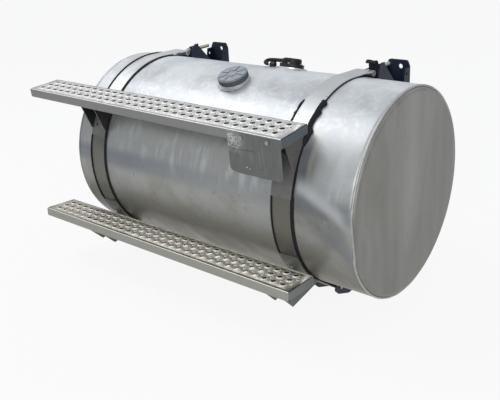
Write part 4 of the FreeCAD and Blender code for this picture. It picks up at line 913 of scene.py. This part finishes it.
class Paint:
    """Small helper round one node material."""

    def __init__(self, name, metallic, roughness):
        self.material = bpy.data.materials.new(name)
        self.material.use_nodes = True
        self.tree = self.material.node_tree
        self.shader = self.tree.nodes["Principled BSDF"]
        self.shader.inputs["Metallic"].default_value = metallic
        self.shader.inputs["Roughness"].default_value = roughness

    def node(self, kind, inputs=(), **settings):
        """New node of this material."""
        return grow(self.tree, kind, inputs, **settings)

    def calc(self, operation, first, second=0.0, third=0.0):
        """Result of a math node."""
        return self.node("ShaderNodeMath", {0: first, 1: second, 2: third}, operation=operation).outputs[0]

    def place(self):
        """Place in the object's frame, from the middle of the tank's axis."""
        spot = self.node("ShaderNodeTexCoord").outputs["Object"]
        return self.node("ShaderNodeVectorMath", {0: spot, 1: MIDDLE}, operation="SUBTRACT").outputs[0]

    def axes(self, vector):
        """The three parts of a vector."""
        split = self.node("ShaderNodeSeparateXYZ", {0: vector})
        return split.outputs[0], split.outputs[1], split.outputs[2]

    def vector(self, x, y, z):
        """Vector from three values."""
        return self.node("ShaderNodeCombineXYZ", {0: x, 1: y, 2: z}).outputs[0]

    def turn(self):
        """Angle in radians round the tank from its top, positive towards the front."""
        _, y, z = self.axes(self.place())
        return self.calc("ARCTAN2", self.calc("MULTIPLY", y, -1.0), z)

    def facing(self):
        """Direction that a face looks in."""
        return self.node("ShaderNodeNewGeometry").outputs["True Normal"]

    def times(self, *shares):
        """Product of values and sockets."""
        product = shares[0]
        for share in shares[1:]:
            product = self.calc("MULTIPLY", product, share)
        return product

    def noise(self, vector, scale, detail=3.0, roughness=0.5, distortion=0.0):
        """Noise value."""
        values = {"Vector": vector, "Scale": scale, "Detail": detail, "Roughness": roughness}
        values["Distortion"] = distortion
        return self.node("ShaderNodeTexNoise", values).outputs["Fac"]

    def streaks(self, vector, scales, detail=3.0, roughness=0.5, distortion=0.0):
        """Noise stretched by a different scale along each axis."""
        stretched = self.node("ShaderNodeVectorMath", {0: vector, 1: scales}, operation="MULTIPLY").outputs[0]
        return self.noise(stretched, 1.0, detail, roughness, distortion)

    def rise(self, value, low, high, bottom=0.0, top=1.0):
        """Value carried from one range to another and held at its ends."""
        values = {"Value": value, "From Min": low, "From Max": high, "To Min": bottom, "To Max": top}
        return self.node("ShaderNodeMapRange", values, interpolation_type="SMOOTHSTEP").outputs[0]

    def belt(self, value, low, full, end, gone):
        """Share that rises from low to full and falls again from end to gone."""
        return self.times(self.rise(value, low, full), self.rise(value, gone, end))

    def mix(self, share, first, second):
        """Blend of two colours, which are values or sockets."""
        values = {"Factor": share}
        for index, value in ((6, first), (7, second)):
            values[index] = value if isinstance(value, bpy.types.NodeSocket) else (*value, 1.0)
        return self.node("ShaderNodeMix", values, data_type="RGBA").outputs[2]

    def lay(self, colour, over, *shares):
        """Colour with a second one laid over it, by the product of some shares."""
        return self.mix(self.times(*shares), colour, over)

    def mottled(self, share, colour, dark=0.85, pale=1.15):
        """Colour that wanders between a darker and a paler shade of itself."""
        return self.mix(share, scaled(colour, dark), scaled(colour, pale))

    def finish(self, colour, roughness, height, strength, distance):
        """Connect the shader and hand back the material."""
        links = self.tree.links
        links.new(colour, self.shader.inputs["Base Color"])
        if roughness is not None:
            links.new(roughness, self.shader.inputs["Roughness"])
        bump = self.node("ShaderNodeBump", {"Height": height, "Strength": strength, "Distance": distance})
        links.new(bump.outputs[0], self.shader.inputs["Normal"])
        return self.material


def scaled(colour, share):
    """Colour made darker or paler."""
    return tuple(min(1.0, part * share) for part in colour)


def shell_crown(paint, turn, clouds, mottle):
    """Cloudy colour of the wrapper's top, with painted shade that makes it duller down its shoulder."""
    cloudy = paint.rise(clouds, 0.35, 0.68)
    colour = paint.mix(cloudy, SHELL_TOP_DULL, SHELL_TOP_PALE)
    shoulder = paint.mix(cloudy, SHELL_SHOULDER_SHADE_DULL, SHELL_SHOULDER_SHADE_PALE)
    # Painted shade down the shoulder, growing with the angle from the top
    colour = paint.lay(colour, shoulder, paint.rise(turn, 0.05, 0.55, 0.0, 0.75))
    return paint.lay(colour, SHELL_TOP_BRIGHT, paint.rise(mottle, 0.45, 0.70, 0.0, 0.35))


def shell_front(paint, colour, x, turn, clouds, mottle, smears):
    """Front of the wrapper: painted shade over its front face, wiped streaks, a dark band of painted
    reflection and shade under the step, and painted shade with stains towards the bottom.
    """
    wipes = paint.streaks(paint.vector(x, turn, 0.0), (44.0, 2.4, 1.0), 5.0, 0.6, 0.4)
    # Painted shade: the front face darkens with the angle from the top
    front = paint.rise(turn, 0.72, 1.12)
    colour = paint.lay(colour, SHELL_FRONT_SHADE, front)
    wiped = paint.times(paint.rise(wipes, 0.44, 0.64), paint.rise(smears, 0.40, 0.62))
    colour = paint.lay(colour, SHELL_WIPE, wiped, front, paint.rise(turn, 1.52, 1.34))
    # Painted reflection of the horizon and painted shadow of the step: a dark band under the step, stronger
    # to the left and past the right strap
    inner = paint.rise(x, 0.15, -0.35, 0.30, 0.85)
    outer = paint.rise(x, 0.37, 0.39, 0.0, 0.75)
    band = paint.belt(turn, 1.29, 1.40, 1.47, 1.58)
    colour = paint.lay(colour, SHELL_REFLECTION_SHADE_BAND, band, paint.calc("MAXIMUM", inner, outer))
    # Painted shade: the wrapper darkens towards its bottom, in cloudy patches
    darker_below = paint.rise(clouds, 0.15, 0.6, 0.7, 1.0)
    colour = paint.lay(colour, SHELL_LOW_SHADE, paint.rise(turn, 1.50, 2.30), darker_below)
    smeared = paint.rise(smears, 0.44, 0.62, 0.0, 0.55)
    colour = paint.lay(colour, SHELL_TAN, paint.rise(turn, 1.45, 1.62), smeared)
    stained = paint.rise(mottle, 0.60, 0.72, 0.0, 0.5)
    return paint.lay(colour, SHELL_STAIN, stained, paint.rise(turn, 1.2, 1.5))


def shell_end(paint, colour, x, turn, clouds, smears, fine):
    """Wrapper between the right strap and the head: scuffed, with a painted shadow of the step's end beside
    the strap, a painted highlight on a ridge, and painted shade in a hollow and along a crease.
    """
    end = paint.times(paint.rise(x, 0.378, 0.388), paint.rise(turn, 0.6, 0.95))
    scuffed = paint.times(end, paint.rise(turn, 1.42, 1.14))
    colour = paint.lay(colour, SHELL_END_PALE, scuffed, paint.rise(smears, 0.35, 0.6, 0.35, 0.85))
    # Painted shadow of the step's end, just right of the right strap
    step_end_shadow = paint.times(paint.belt(x, 0.383, 0.387, 0.408, 0.452), paint.belt(turn, 0.86, 0.98, 1.12, 1.30))
    colour = paint.lay(colour, SHELL_PAINTED_SHADE, step_end_shadow, 0.7)
    below = paint.calc("SUBTRACT", turn, paint.calc("MULTIPLY_ADD", x, 1.449, 0.691))
    reach = paint.belt(x, 0.385, 0.40, 0.53, 0.575)
    # Painted highlight along the ridge above the hollow
    colour = paint.lay(colour, SHELL_RIDGE_HIGHLIGHT, reach, paint.belt(below, -0.12, -0.01, 0.0, 0.10), 0.45)
    # Painted shade in the hollow below the ridge
    hollow = paint.times(reach, paint.belt(below, 0.02, 0.13, 0.22, 0.46))
    colour = paint.lay(colour, SHELL_HOLLOW_SHADE, hollow, paint.rise(clouds, 0.3, 0.6, 0.35, 0.7))
    # Painted shade along the crease near the right head
    crease_x = paint.rise(turn, 1.60, 2.00, 0.515, 0.590)
    crease = paint.rise(paint.calc("ABSOLUTE", paint.calc("SUBTRACT", x, crease_x)), 0.045, 0.008)
    colour = paint.lay(colour, SHELL_PAINTED_SHADE, crease, paint.belt(turn, 1.52, 1.66, 1.95, 2.15), 0.55)
    scratch = paint.times(paint.rise(fine, 0.60, 0.68), scuffed, paint.rise(clouds, 0.42, 0.55))
    colour = paint.lay(colour, SHELL_SCRATCH, scratch, 0.5)
    run = paint.times(paint.belt(x, 0.412, 0.420, 0.428, 0.436), end, paint.rise(turn, 1.35, 1.1))
    return paint.lay(colour, SHELL_RUN, run, 0.45)


def shell_aluminium():
    """Weathered wrapper: cloudy on top, with painted shade down its shoulder and front, a dark band of
    painted reflection and shade under the step, wiped streaks, and painted shade with stains towards the
    bottom.
    """
    paint = Paint("weathered_wrapper", 0.55, 0.42)
    place = paint.place()
    x, _, _ = paint.axes(place)
    turn = paint.turn()
    unrolled = paint.vector(x, turn, 0.0)
    clouds = paint.noise(place, 8.0, 6.0, 0.60, 0.35)
    mottle = paint.noise(place, 38.0, 4.0, 0.6, 0.8)
    smears = paint.streaks(unrolled, (9.0, 2.2, 1.0), 3.0, 0.55, 0.6)
    fine = paint.streaks(unrolled, (16.0, 330.0, 1.0))
    colour = shell_crown(paint, turn, clouds, mottle)
    colour = shell_front(paint, colour, x, turn, clouds, mottle, smears)
    colour = shell_end(paint, colour, x, turn, clouds, smears, fine)
    rough = paint.rise(clouds, 0.3, 0.7, 0.34, 0.50)
    height = paint.calc("MULTIPLY_ADD", clouds, 0.8, paint.times(fine, 0.10))
    return paint.finish(colour, rough, height, 0.22, 0.004)


def head_aluminium():
    """Satin head with faint upright streaks, a painted sheen and a few specks."""
    paint = Paint("satin_head", 0.55, 0.42)
    place = paint.place()
    _, y, z = paint.axes(place)
    upright = paint.streaks(place, (1.0, 9.0, 1.6), 4.0, 0.55, 0.5)
    hair = paint.streaks(place, (1.0, 160.0, 3.0))
    clouds = paint.noise(place, 5.0, 4.0, 0.55, 0.6)
    specks = paint.noise(place, 110.0, 2.0, 0.5)
    colour = paint.mix(paint.rise(upright, 0.3, 0.7), HEAD_DULL, HEAD_PALE)
    colour = paint.lay(colour, HEAD_WARM, paint.rise(clouds, 0.4, 0.7, 0.0, 0.4))
    # Painted sheen: a paler upright belt over the middle of the head, fading out low down
    sheen = paint.times(paint.belt(y, -0.09, 0.0, 0.0, 0.10), paint.rise(z, -0.24, 0.02))
    colour = paint.lay(colour, HEAD_PAINTED_SHEEN, sheen, 0.6)
    colour = paint.lay(colour, HEAD_SPECK, paint.rise(specks, 0.72, 0.76, 0.0, 0.7))
    height = paint.calc("MULTIPLY_ADD", clouds, 0.8, paint.times(hair, 0.06))
    return paint.finish(colour, paint.rise(upright, 0.3, 0.7, 0.38, 0.46), height, 0.12, 0.003)


def weld_aluminium():
    """Bright weld bead, mottled between a darker and a paler grey."""
    paint = Paint("weld_bead", 0.9, 0.4)
    mottle = paint.noise(paint.place(), 60.0, 3.0)
    colour = paint.mix(mottle, (0.24, 0.24, 0.235), (0.48, 0.48, 0.475))
    return paint.finish(colour, None, mottle, 0.3, 0.001)


def fitting_aluminium():
    """Dull machined aluminium."""
    paint = Paint("machined_fitting", 0.9, 0.36)
    mottle = paint.noise(paint.place(), 45.0, 4.0, 0.6)
    colour = paint.mix(mottle, (0.52, 0.53, 0.54), (0.80, 0.81, 0.81))
    return paint.finish(colour, paint.rise(mottle, 0.3, 0.7, 0.28, 0.5), mottle, 0.15, 0.001)


def cap_metal():
    """Dull cast cap: a paler face and a darker skirt, picked by which way each surface looks, as painted
    light on the face and painted shade on the skirt.
    """
    paint = Paint("cast_cap", 0.45, 0.5)
    axis = wall_frame(FILLER_X, FILLER_ANGLE).col[2].xyz
    spot = paint.node("ShaderNodeTexCoord")
    facing = paint.node("ShaderNodeVectorMath", {0: spot.outputs["Normal"], 1: axis}, operation="DOT_PRODUCT")
    # Painted light and shade: surfaces that look along the neck's axis take the paler face colour, the rest
    # the darker skirt colour
    upper = paint.rise(facing.outputs["Value"], 0.5, 0.9)
    mottle = paint.noise(paint.place(), 90.0, 5.0, 0.65)
    face = paint.mix(mottle, (0.20, 0.235, 0.27), (0.34, 0.38, 0.42))
    skirt = paint.mix(mottle, (0.075, 0.08, 0.09), (0.14, 0.145, 0.155))
    return paint.finish(paint.mix(upper, skirt, face), None, mottle, 0.25, 0.001)


def step_aluminium(name, clean, side, dirt, dirt_share):
    """Grip step: scuffed pale metal, with dirt in the hollows between the raised holes, and a darker colour
    as painted shade on the faces that do not look up.
    """
    paint = Paint(name, 0.35, 0.5)
    place = paint.place()
    mottle = paint.noise(place, 26.0, 5.0, 0.62, 0.5)
    patches = paint.noise(place, 9.0, 3.0, 0.5, 0.8)
    grain = paint.noise(place, 160.0, 3.0, 0.6)
    _, _, up = paint.axes(paint.facing())
    flat = paint.rise(up, 0.90, 0.985)
    colour = paint.mix(grain, clean, scaled(clean, 1.15))
    colour = paint.lay(colour, dirt, flat, paint.rise(mottle, 0.30, 0.62, dirt_share * 0.35, dirt_share))
    colour = paint.lay(colour, scaled(dirt, 0.55), flat, paint.rise(patches, 0.62, 0.72, 0.0, 0.55))
    # Painted shade: faces that do not look up take the darker side colour
    colour = paint.lay(colour, paint.mottled(mottle, side), paint.rise(up, 0.6, 0.3))
    return paint.finish(colour, paint.rise(mottle, 0.3, 0.7, 0.38, 0.58), grain, 0.2, 0.0008)


def plate_metal():
    """Dull sheet with a hammered corner whose pale flakes are partly painted reflection, rubbed upright lines
    and a few bright and dark marks.
    """
    paint = Paint("dull_plate", 0.6, 0.44)
    lean = step_frame(UPPER_STEP_OUT, UPPER_STEP_ANGLE, UPPER_STEP_PITCH, UPPER_STEP_TILT)
    corner = lean @ Vector((UPPER_STEP_LEFT + STEP_LEN - PLATE_LEN, 0, PLATE_TOP))
    spot = paint.node("ShaderNodeTexCoord").outputs["Object"]
    local = paint.node("ShaderNodeVectorMath", {0: spot, 1: corner}, operation="SUBTRACT").outputs[0]
    x, _, z = paint.axes(local)
    clouds = paint.noise(local, 16.0, 5.0, 0.6, 0.8)
    lines = paint.streaks(local, (130.0, 1.0, 9.0), 3.0, 0.55)
    cells = paint.node("ShaderNodeTexVoronoi", {"Vector": local, "Scale": 170.0}).outputs["Distance"]
    worn = paint.rise(clouds, 0.35, 0.62, 0.35, 1.0)
    hammered = paint.times(paint.rise(x, 0.074, 0.022), paint.rise(z, -0.074, -0.030), worn)
    colour = paint.mix(clouds, PLATE_DULL, PLATE_PALE)
    colour = paint.lay(colour, PLATE_RUBBED, paint.rise(lines, 0.50, 0.70, 0.0, 0.35))
    # Pale flakes on the curled lower-left corner: flaking wear, and partly painted reflection
    colour = paint.lay(colour, PLATE_FLAKE_AND_REFLECTION, hammered, paint.rise(cells, 0.25, 0.55), 0.8)
    for mark_x, mark_z, reach, tone in PLATE_MARKS:
        across = paint.calc("POWER", paint.calc("SUBTRACT", x, mark_x), 2.0)
        upward = paint.calc("POWER", paint.calc("SUBTRACT", z, mark_z), 2.0)
        away = paint.calc("SQRT", paint.calc("ADD", across, upward))
        colour = paint.lay(colour, (tone, tone, tone), paint.rise(away, reach, reach * 0.6))
    wavy = paint.times(paint.calc("SINE", paint.times(x, 60.0)), 0.002)
    line = paint.calc("ABSOLUTE", paint.calc("ADD", paint.calc("SUBTRACT", z, PLATE_LINE_Z), wavy))
    drawn = paint.times(paint.rise(line, 0.0016, 0.0006), paint.rise(x, 0.105, 0.090))
    colour = paint.lay(colour, PLATE_DARK, drawn, 0.7)
    height = paint.calc("MULTIPLY_ADD", lines, 0.05, paint.times(cells, hammered))
    return paint.finish(colour, paint.rise(clouds, 0.3, 0.7, 0.34, 0.5), height, 0.6, 0.0016)


def web_paint():
    """Step bracket: dull grey clamp, webs near-black as painted shade on their side faces, and a pale warm
    painted lit face on the right web's side towards the right head.
    """
    paint = Paint("webs_lit_and_shaded", 0.1, 0.55)
    place = paint.place()
    x, _, _ = paint.axes(place)
    side, _, _ = paint.axes(paint.facing())
    mottle = paint.noise(place, 24.0, 5.0, 0.6)
    clamp = paint.mix(mottle, (0.10, 0.10, 0.095), (0.18, 0.18, 0.17))
    # Painted shade: the webs' side faces are near-black
    dark = paint.mix(mottle, (0.006, 0.006, 0.007), (0.020, 0.020, 0.021))
    colour = paint.lay(clamp, dark, paint.rise(paint.calc("ABSOLUTE", side), 0.5, 0.8))
    # Painted light: the right web's outer face takes a pale warm colour
    outer = paint.times(paint.rise(side, 0.7, 0.9), paint.rise(x, 0.384, 0.386))
    colour = paint.lay(colour, paint.mottled(mottle, WEB_LIT_FACE), outer)
    return paint.finish(colour, None, mottle, 0.2, 0.0008)


def strap_steel(side, top, low):
    """Stainless strap, polished along its length, scuffed, and darker where it runs down the front."""
    paint = Paint("strap_stainless_" + side, 0.6, 0.34)
    place = paint.place()
    x, _, _ = paint.axes(place)
    turn = paint.turn()
    lines = paint.streaks(paint.vector(x, turn, 0.0), (320.0, 2.5, 1.0))
    clouds = paint.noise(place, 14.0, 4.0, 0.6, 0.6)
    specks = paint.noise(place, 95.0, 2.0, 0.5)
    # Darker colour down the front, by the angle round the tank
    darker_below = paint.mottled(clouds, low, 0.82, 1.18)
    colour = paint.lay(paint.mottled(clouds, top, 0.85, 1.12), darker_below, paint.rise(turn, 0.75, 1.25))
    colour = paint.lay(colour, (0.03, 0.028, 0.025), paint.rise(specks, 0.70, 0.74, 0.0, 0.8))
    return paint.finish(colour, paint.rise(clouds, 0.3, 0.7, 0.30, 0.46), lines, 0.12, 0.0006)


def dull_steel(name, dark, pale, metallic, roughness, scale=30.0, gloss=0.5):
    """Plain dull steel with soft mottling."""
    paint = Paint(name, metallic, roughness)
    paint.shader.inputs["Specular IOR Level"].default_value = gloss
    mottle = paint.noise(paint.place(), scale, 5.0, 0.62, 0.4)
    colour = paint.mix(mottle, dark, pale)
    rough = paint.rise(mottle, 0.3, 0.7, roughness - 0.08, roughness + 0.1)
    return paint.finish(colour, rough, mottle, 0.2, 0.0008)


def rubber():
    """Matte black rubber."""
    paint = Paint("black_rubber", 0.0, 0.72)
    paint.shader.inputs["Specular IOR Level"].default_value = 0.2
    grain = paint.noise(paint.place(), 120.0, 4.0, 0.6)
    colour = paint.mix(grain, (0.006, 0.006, 0.008), (0.020, 0.020, 0.023))
    return paint.finish(colour, None, grain, 0.25, 0.0006)


# Placing everything

def dress(node, material, edge=0.0):
    """Give a CAD node its material, and soft edges where it has an edge size."""
    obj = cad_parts[node]
    obj.data.materials.clear()
    obj.data.materials.append(material)
    if edge:
        add_modifier(
            obj, "BEVEL", "soft_edges", width=edge, segments=2, limit_method="ANGLE",
            angle_limit=math.radians(40), harden_normals=False,
        )


def make_camera():
    """Camera at the photograph's viewpoint."""
    forward = Vector((
        -math.sin(CAMERA_YAW) * math.cos(CAMERA_PITCH),
        math.cos(CAMERA_YAW) * math.cos(CAMERA_PITCH),
        math.sin(CAMERA_PITCH),
    ))
    level = forward.cross(Z_AXIS).normalized()
    upward = level.cross(forward)
    right = level * math.cos(CAMERA_ROLL) + upward * math.sin(CAMERA_ROLL)
    up = upward * math.cos(CAMERA_ROLL) - level * math.sin(CAMERA_ROLL)
    data = bpy.data.cameras.new("camera")
    data.sensor_width = SENSOR_MM
    data.lens = FOCAL_PX * SENSOR_MM / PHOTO_W
    camera = bpy.data.objects.new("camera", data)
    turned = Matrix((right, up, -forward)).transposed().to_4x4()
    camera.matrix_world = Matrix.Translation(CAMERA_AT) @ turned
    put(camera)
    bpy.context.scene.camera = camera


def make_lamp(name, at, target, size, energy, colour):
    """Soft square lamp that looks at a point."""
    data = bpy.data.lights.new(name, "AREA")
    data.shape = "SQUARE"
    data.size = size
    data.energy = energy
    data.color = colour
    lamp = bpy.data.objects.new(name, data)
    lamp.location = at
    lamp.rotation_euler = (Vector(target) - Vector(at)).to_track_quat("-Z", "Y").to_euler()
    put(lamp)


def seeing_rays(tree):
    """Shares of the rays that come from the camera, and of those with mirrored and refracted ones."""
    path = grow(tree, "ShaderNodeLightPath").outputs
    camera = path["Is Camera Ray"]
    seeing = camera
    for kind in ("Is Glossy Ray", "Is Transmission Ray"):
        seeing = grow(tree, "ShaderNodeMath", {0: seeing, 1: path[kind]}, operation="MAXIMUM").outputs[0]
    return camera, seeing


def choose_shader(tree, share, first, second, target):
    """Mix two shaders by a share into a target socket."""
    choose = grow(tree, "ShaderNodeMixShader", {0: share, 1: first.outputs[0], 2: second.outputs[0]})
    tree.links.new(choose.outputs[0], target)


def make_world():
    """Pale surroundings, with a slightly darker belt at the horizon in the metal's reflections."""
    world = bpy.data.worlds.new("studio")
    bpy.context.scene.world = world
    world.use_nodes = True
    tree = world.node_tree
    tree.nodes.clear()
    out = grow(tree, "ShaderNodeOutputWorld")
    coords = grow(tree, "ShaderNodeTexCoord")
    split = grow(tree, "ShaderNodeSeparateXYZ", {0: coords.outputs["Generated"]})
    belt = grow(tree, "ShaderNodeValToRGB", {0: split.outputs[2]})
    stops = belt.color_ramp.elements
    stops[0].position = 0.0
    stops[0].color = (0.40, 0.44, 0.50, 1.0)
    stops[1].position = 0.34
    stops[1].color = (1.0, 1.0, 1.0, 1.0)
    stops.new(0.12).color = (0.50, 0.54, 0.60, 1.0)
    camera, seeing = seeing_rays(tree)
    whiten = {0: camera, 6: belt.outputs[0], 7: (1.0, 1.0, 1.0, 1.0)}
    sky = grow(tree, "ShaderNodeMix", whiten, data_type="RGBA").outputs[2]
    light = grow(tree, "ShaderNodeBackground", {"Color": (0.86, 0.92, 1.0, 1.0), "Strength": WORLD_LEVEL})
    seen = grow(tree, "ShaderNodeBackground", {"Color": sky, "Strength": 1.0})
    choose_shader(tree, seeing, light, seen, out.inputs[0])


def make_floor():
    """Pale floor that keeps the object's shadow."""
    mesh = bpy.data.meshes.new("floor")
    corners = [(-FLOOR_REACH, -FLOOR_REACH, 0), (FLOOR_REACH, -FLOOR_REACH, 0)]
    corners += [(FLOOR_REACH, FLOOR_REACH, 0), (-FLOOR_REACH, FLOOR_REACH, 0)]
    mesh.from_pydata(corners, [], [(0, 1, 2, 3)])
    floor = bpy.data.objects.new("floor", mesh)
    put(floor)
    paint = Paint("pale_floor", 0.0, 0.9)
    paint.shader.inputs["Base Color"].default_value = (0.70, 0.70, 0.69, 1.0)
    paint.shader.inputs["Specular IOR Level"].default_value = 0.1
    white = paint.node("ShaderNodeEmission", {"Strength": 1.0})
    _, seeing = seeing_rays(paint.tree)
    target = paint.tree.nodes["Material Output"].inputs[0]
    choose_shader(paint.tree, paint.times(seeing, FLOOR_WHITE), paint.shader, white, target)
    mesh.materials.append(paint.material)


def make_object():
    """Every piece and every material of the tank."""
    shell = shell_aluminium()
    head = head_aluminium()
    weld = weld_aluminium()
    fitting = fitting_aluminium()
    cap = cap_metal()
    straps = {
        "left": strap_steel("left", (0.56, 0.57, 0.58), (0.145, 0.142, 0.122)),
        "right": strap_steel("right", (0.46, 0.475, 0.49), (0.13, 0.126, 0.108)),
    }
    black = rubber()
    bracket = dull_steel("bracket_black", (0.005, 0.009, 0.022), (0.013, 0.021, 0.046), 0.0, 0.45, 22.0, 0.22)
    bare = dull_steel("bare_steel", (0.10, 0.10, 0.09), (0.19, 0.19, 0.175), 0.3, 0.5)
    bolt = dull_steel("bolt_steel", (0.22, 0.21, 0.19), (0.45, 0.44, 0.42), 0.7, 0.42, 60.0)
    plastic = dull_steel("black_plastic", (0.006, 0.006, 0.007), (0.018, 0.018, 0.020), 0.0, 0.42, 50.0, 0.3)
    foam = dull_steel("float_foam", (0.05, 0.045, 0.035), (0.10, 0.09, 0.07), 0.0, 0.8, 60.0)
    # Painted shade: near-black colour for the faces under the treads
    inner = dull_steel("shaded_underside", (0.012, 0.012, 0.010), (0.05, 0.047, 0.04), 0.1, 0.65, 30.0)
    # Painted shade: darker bluish colours for the steps' end plates
    ends = {
        "upper": dull_steel("upper_end_shade", (0.062, 0.078, 0.087), (0.148, 0.170, 0.183), 0.2, 0.5, 26.0),
        "lower": dull_steel("lower_end_shade", (0.120, 0.128, 0.127), (0.234, 0.243, 0.234), 0.2, 0.5, 26.0),
    }
    for node in ("sender_cover", "sender_stem", "loom_sleeve", "loom_plug"):
        dress(node, plastic, 0.0005 if node == "sender_cover" else 0.0)
    make_loom(plastic, fitting)
    make_shell(shell)
    for side in ("left", "right"):
        make_head(side, head)
        make_weld_bead(side, weld)
        make_liner(side, black)
        dress("strap_" + side, straps[side])
        dress("bracket_" + side, bracket, 0.0012)
        dress("bracket_pad_" + side, black)
        dress("baffle_" + side, shell)
    webs = web_paint()
    for side in ("left", "right"):
        dress("upper_step_bracket_" + side, webs, 0.0006)
        dress("lower_step_bracket_" + side, bare, 0.0006)
    upper = step_frame(UPPER_STEP_OUT, UPPER_STEP_ANGLE, UPPER_STEP_PITCH, UPPER_STEP_TILT)
    lower = step_frame(LOWER_STEP_OUT, LOWER_STEP_ANGLE, LOWER_STEP_PITCH, 0.0)
    # Each tread's second colour is the painted shade of its faces that do not look up
    upper_tread = step_aluminium(
        "upper_tread", (0.70, 0.70, 0.69), (0.22, 0.22, 0.21), (0.46, 0.45, 0.42), 0.7,
    )
    lower_tread = step_aluminium(
        "lower_tread", (0.66, 0.64, 0.57), (0.319, 0.315, 0.278), (0.35, 0.32, 0.25), 0.8,
    )
    make_step("upper_step", upper, UPPER_STEP_LEFT, UPPER_STEP_TWIST, (upper_tread, inner, ends["upper"]))
    make_step("lower_step", lower, LOWER_STEP_LEFT, LOWER_STEP_TWIST, (lower_tread, inner, ends["lower"]))
    make_plate(upper, plate_metal())
    dress("front_plate", bare)
    make_fitting_welds(weld)
    make_bolt_threads(bolt)
    for material, edge, nodes in (
        (fitting, 0.0005, ("filler_neck", "sender_boss", "draw_fitting", "return_fitting", "drain_boss")),
        (fitting, 0.0, ("draw_tube", "return_tube")),
        (cap, 0.0004, ("fuel_cap",)),
        (black, 0.0, ("cap_seal", "sender_gasket")),
        (foam, 0.0, ("sender_float",)),
        (bolt, 0.0004, ("upper_studs", "lower_studs", "plate_screws")),
        (bolt, 0.0, ("sender_screws", "float_arm", "drain_plug", "strap_bolts", "strap_washers")),
        (bolt, 0.0, ("strap_nuts", "anchor_pins")),
    ):
        for node in nodes:
            dress(node, material, edge)


make_camera()
make_world()
make_floor()
make_lamp("key", (-1.8, -0.7, 3.3), (0.0, 0.0, 0.4), 1.8, 46.0, (1.0, 0.99, 0.97))
make_lamp("fill", (2.4, -2.8, 1.5), (0.3, 0.0, 0.4), 2.4, 44.0, (1.0, 0.99, 0.98))
make_object()
bpy.context.scene.view_settings.view_transform = "Standard"
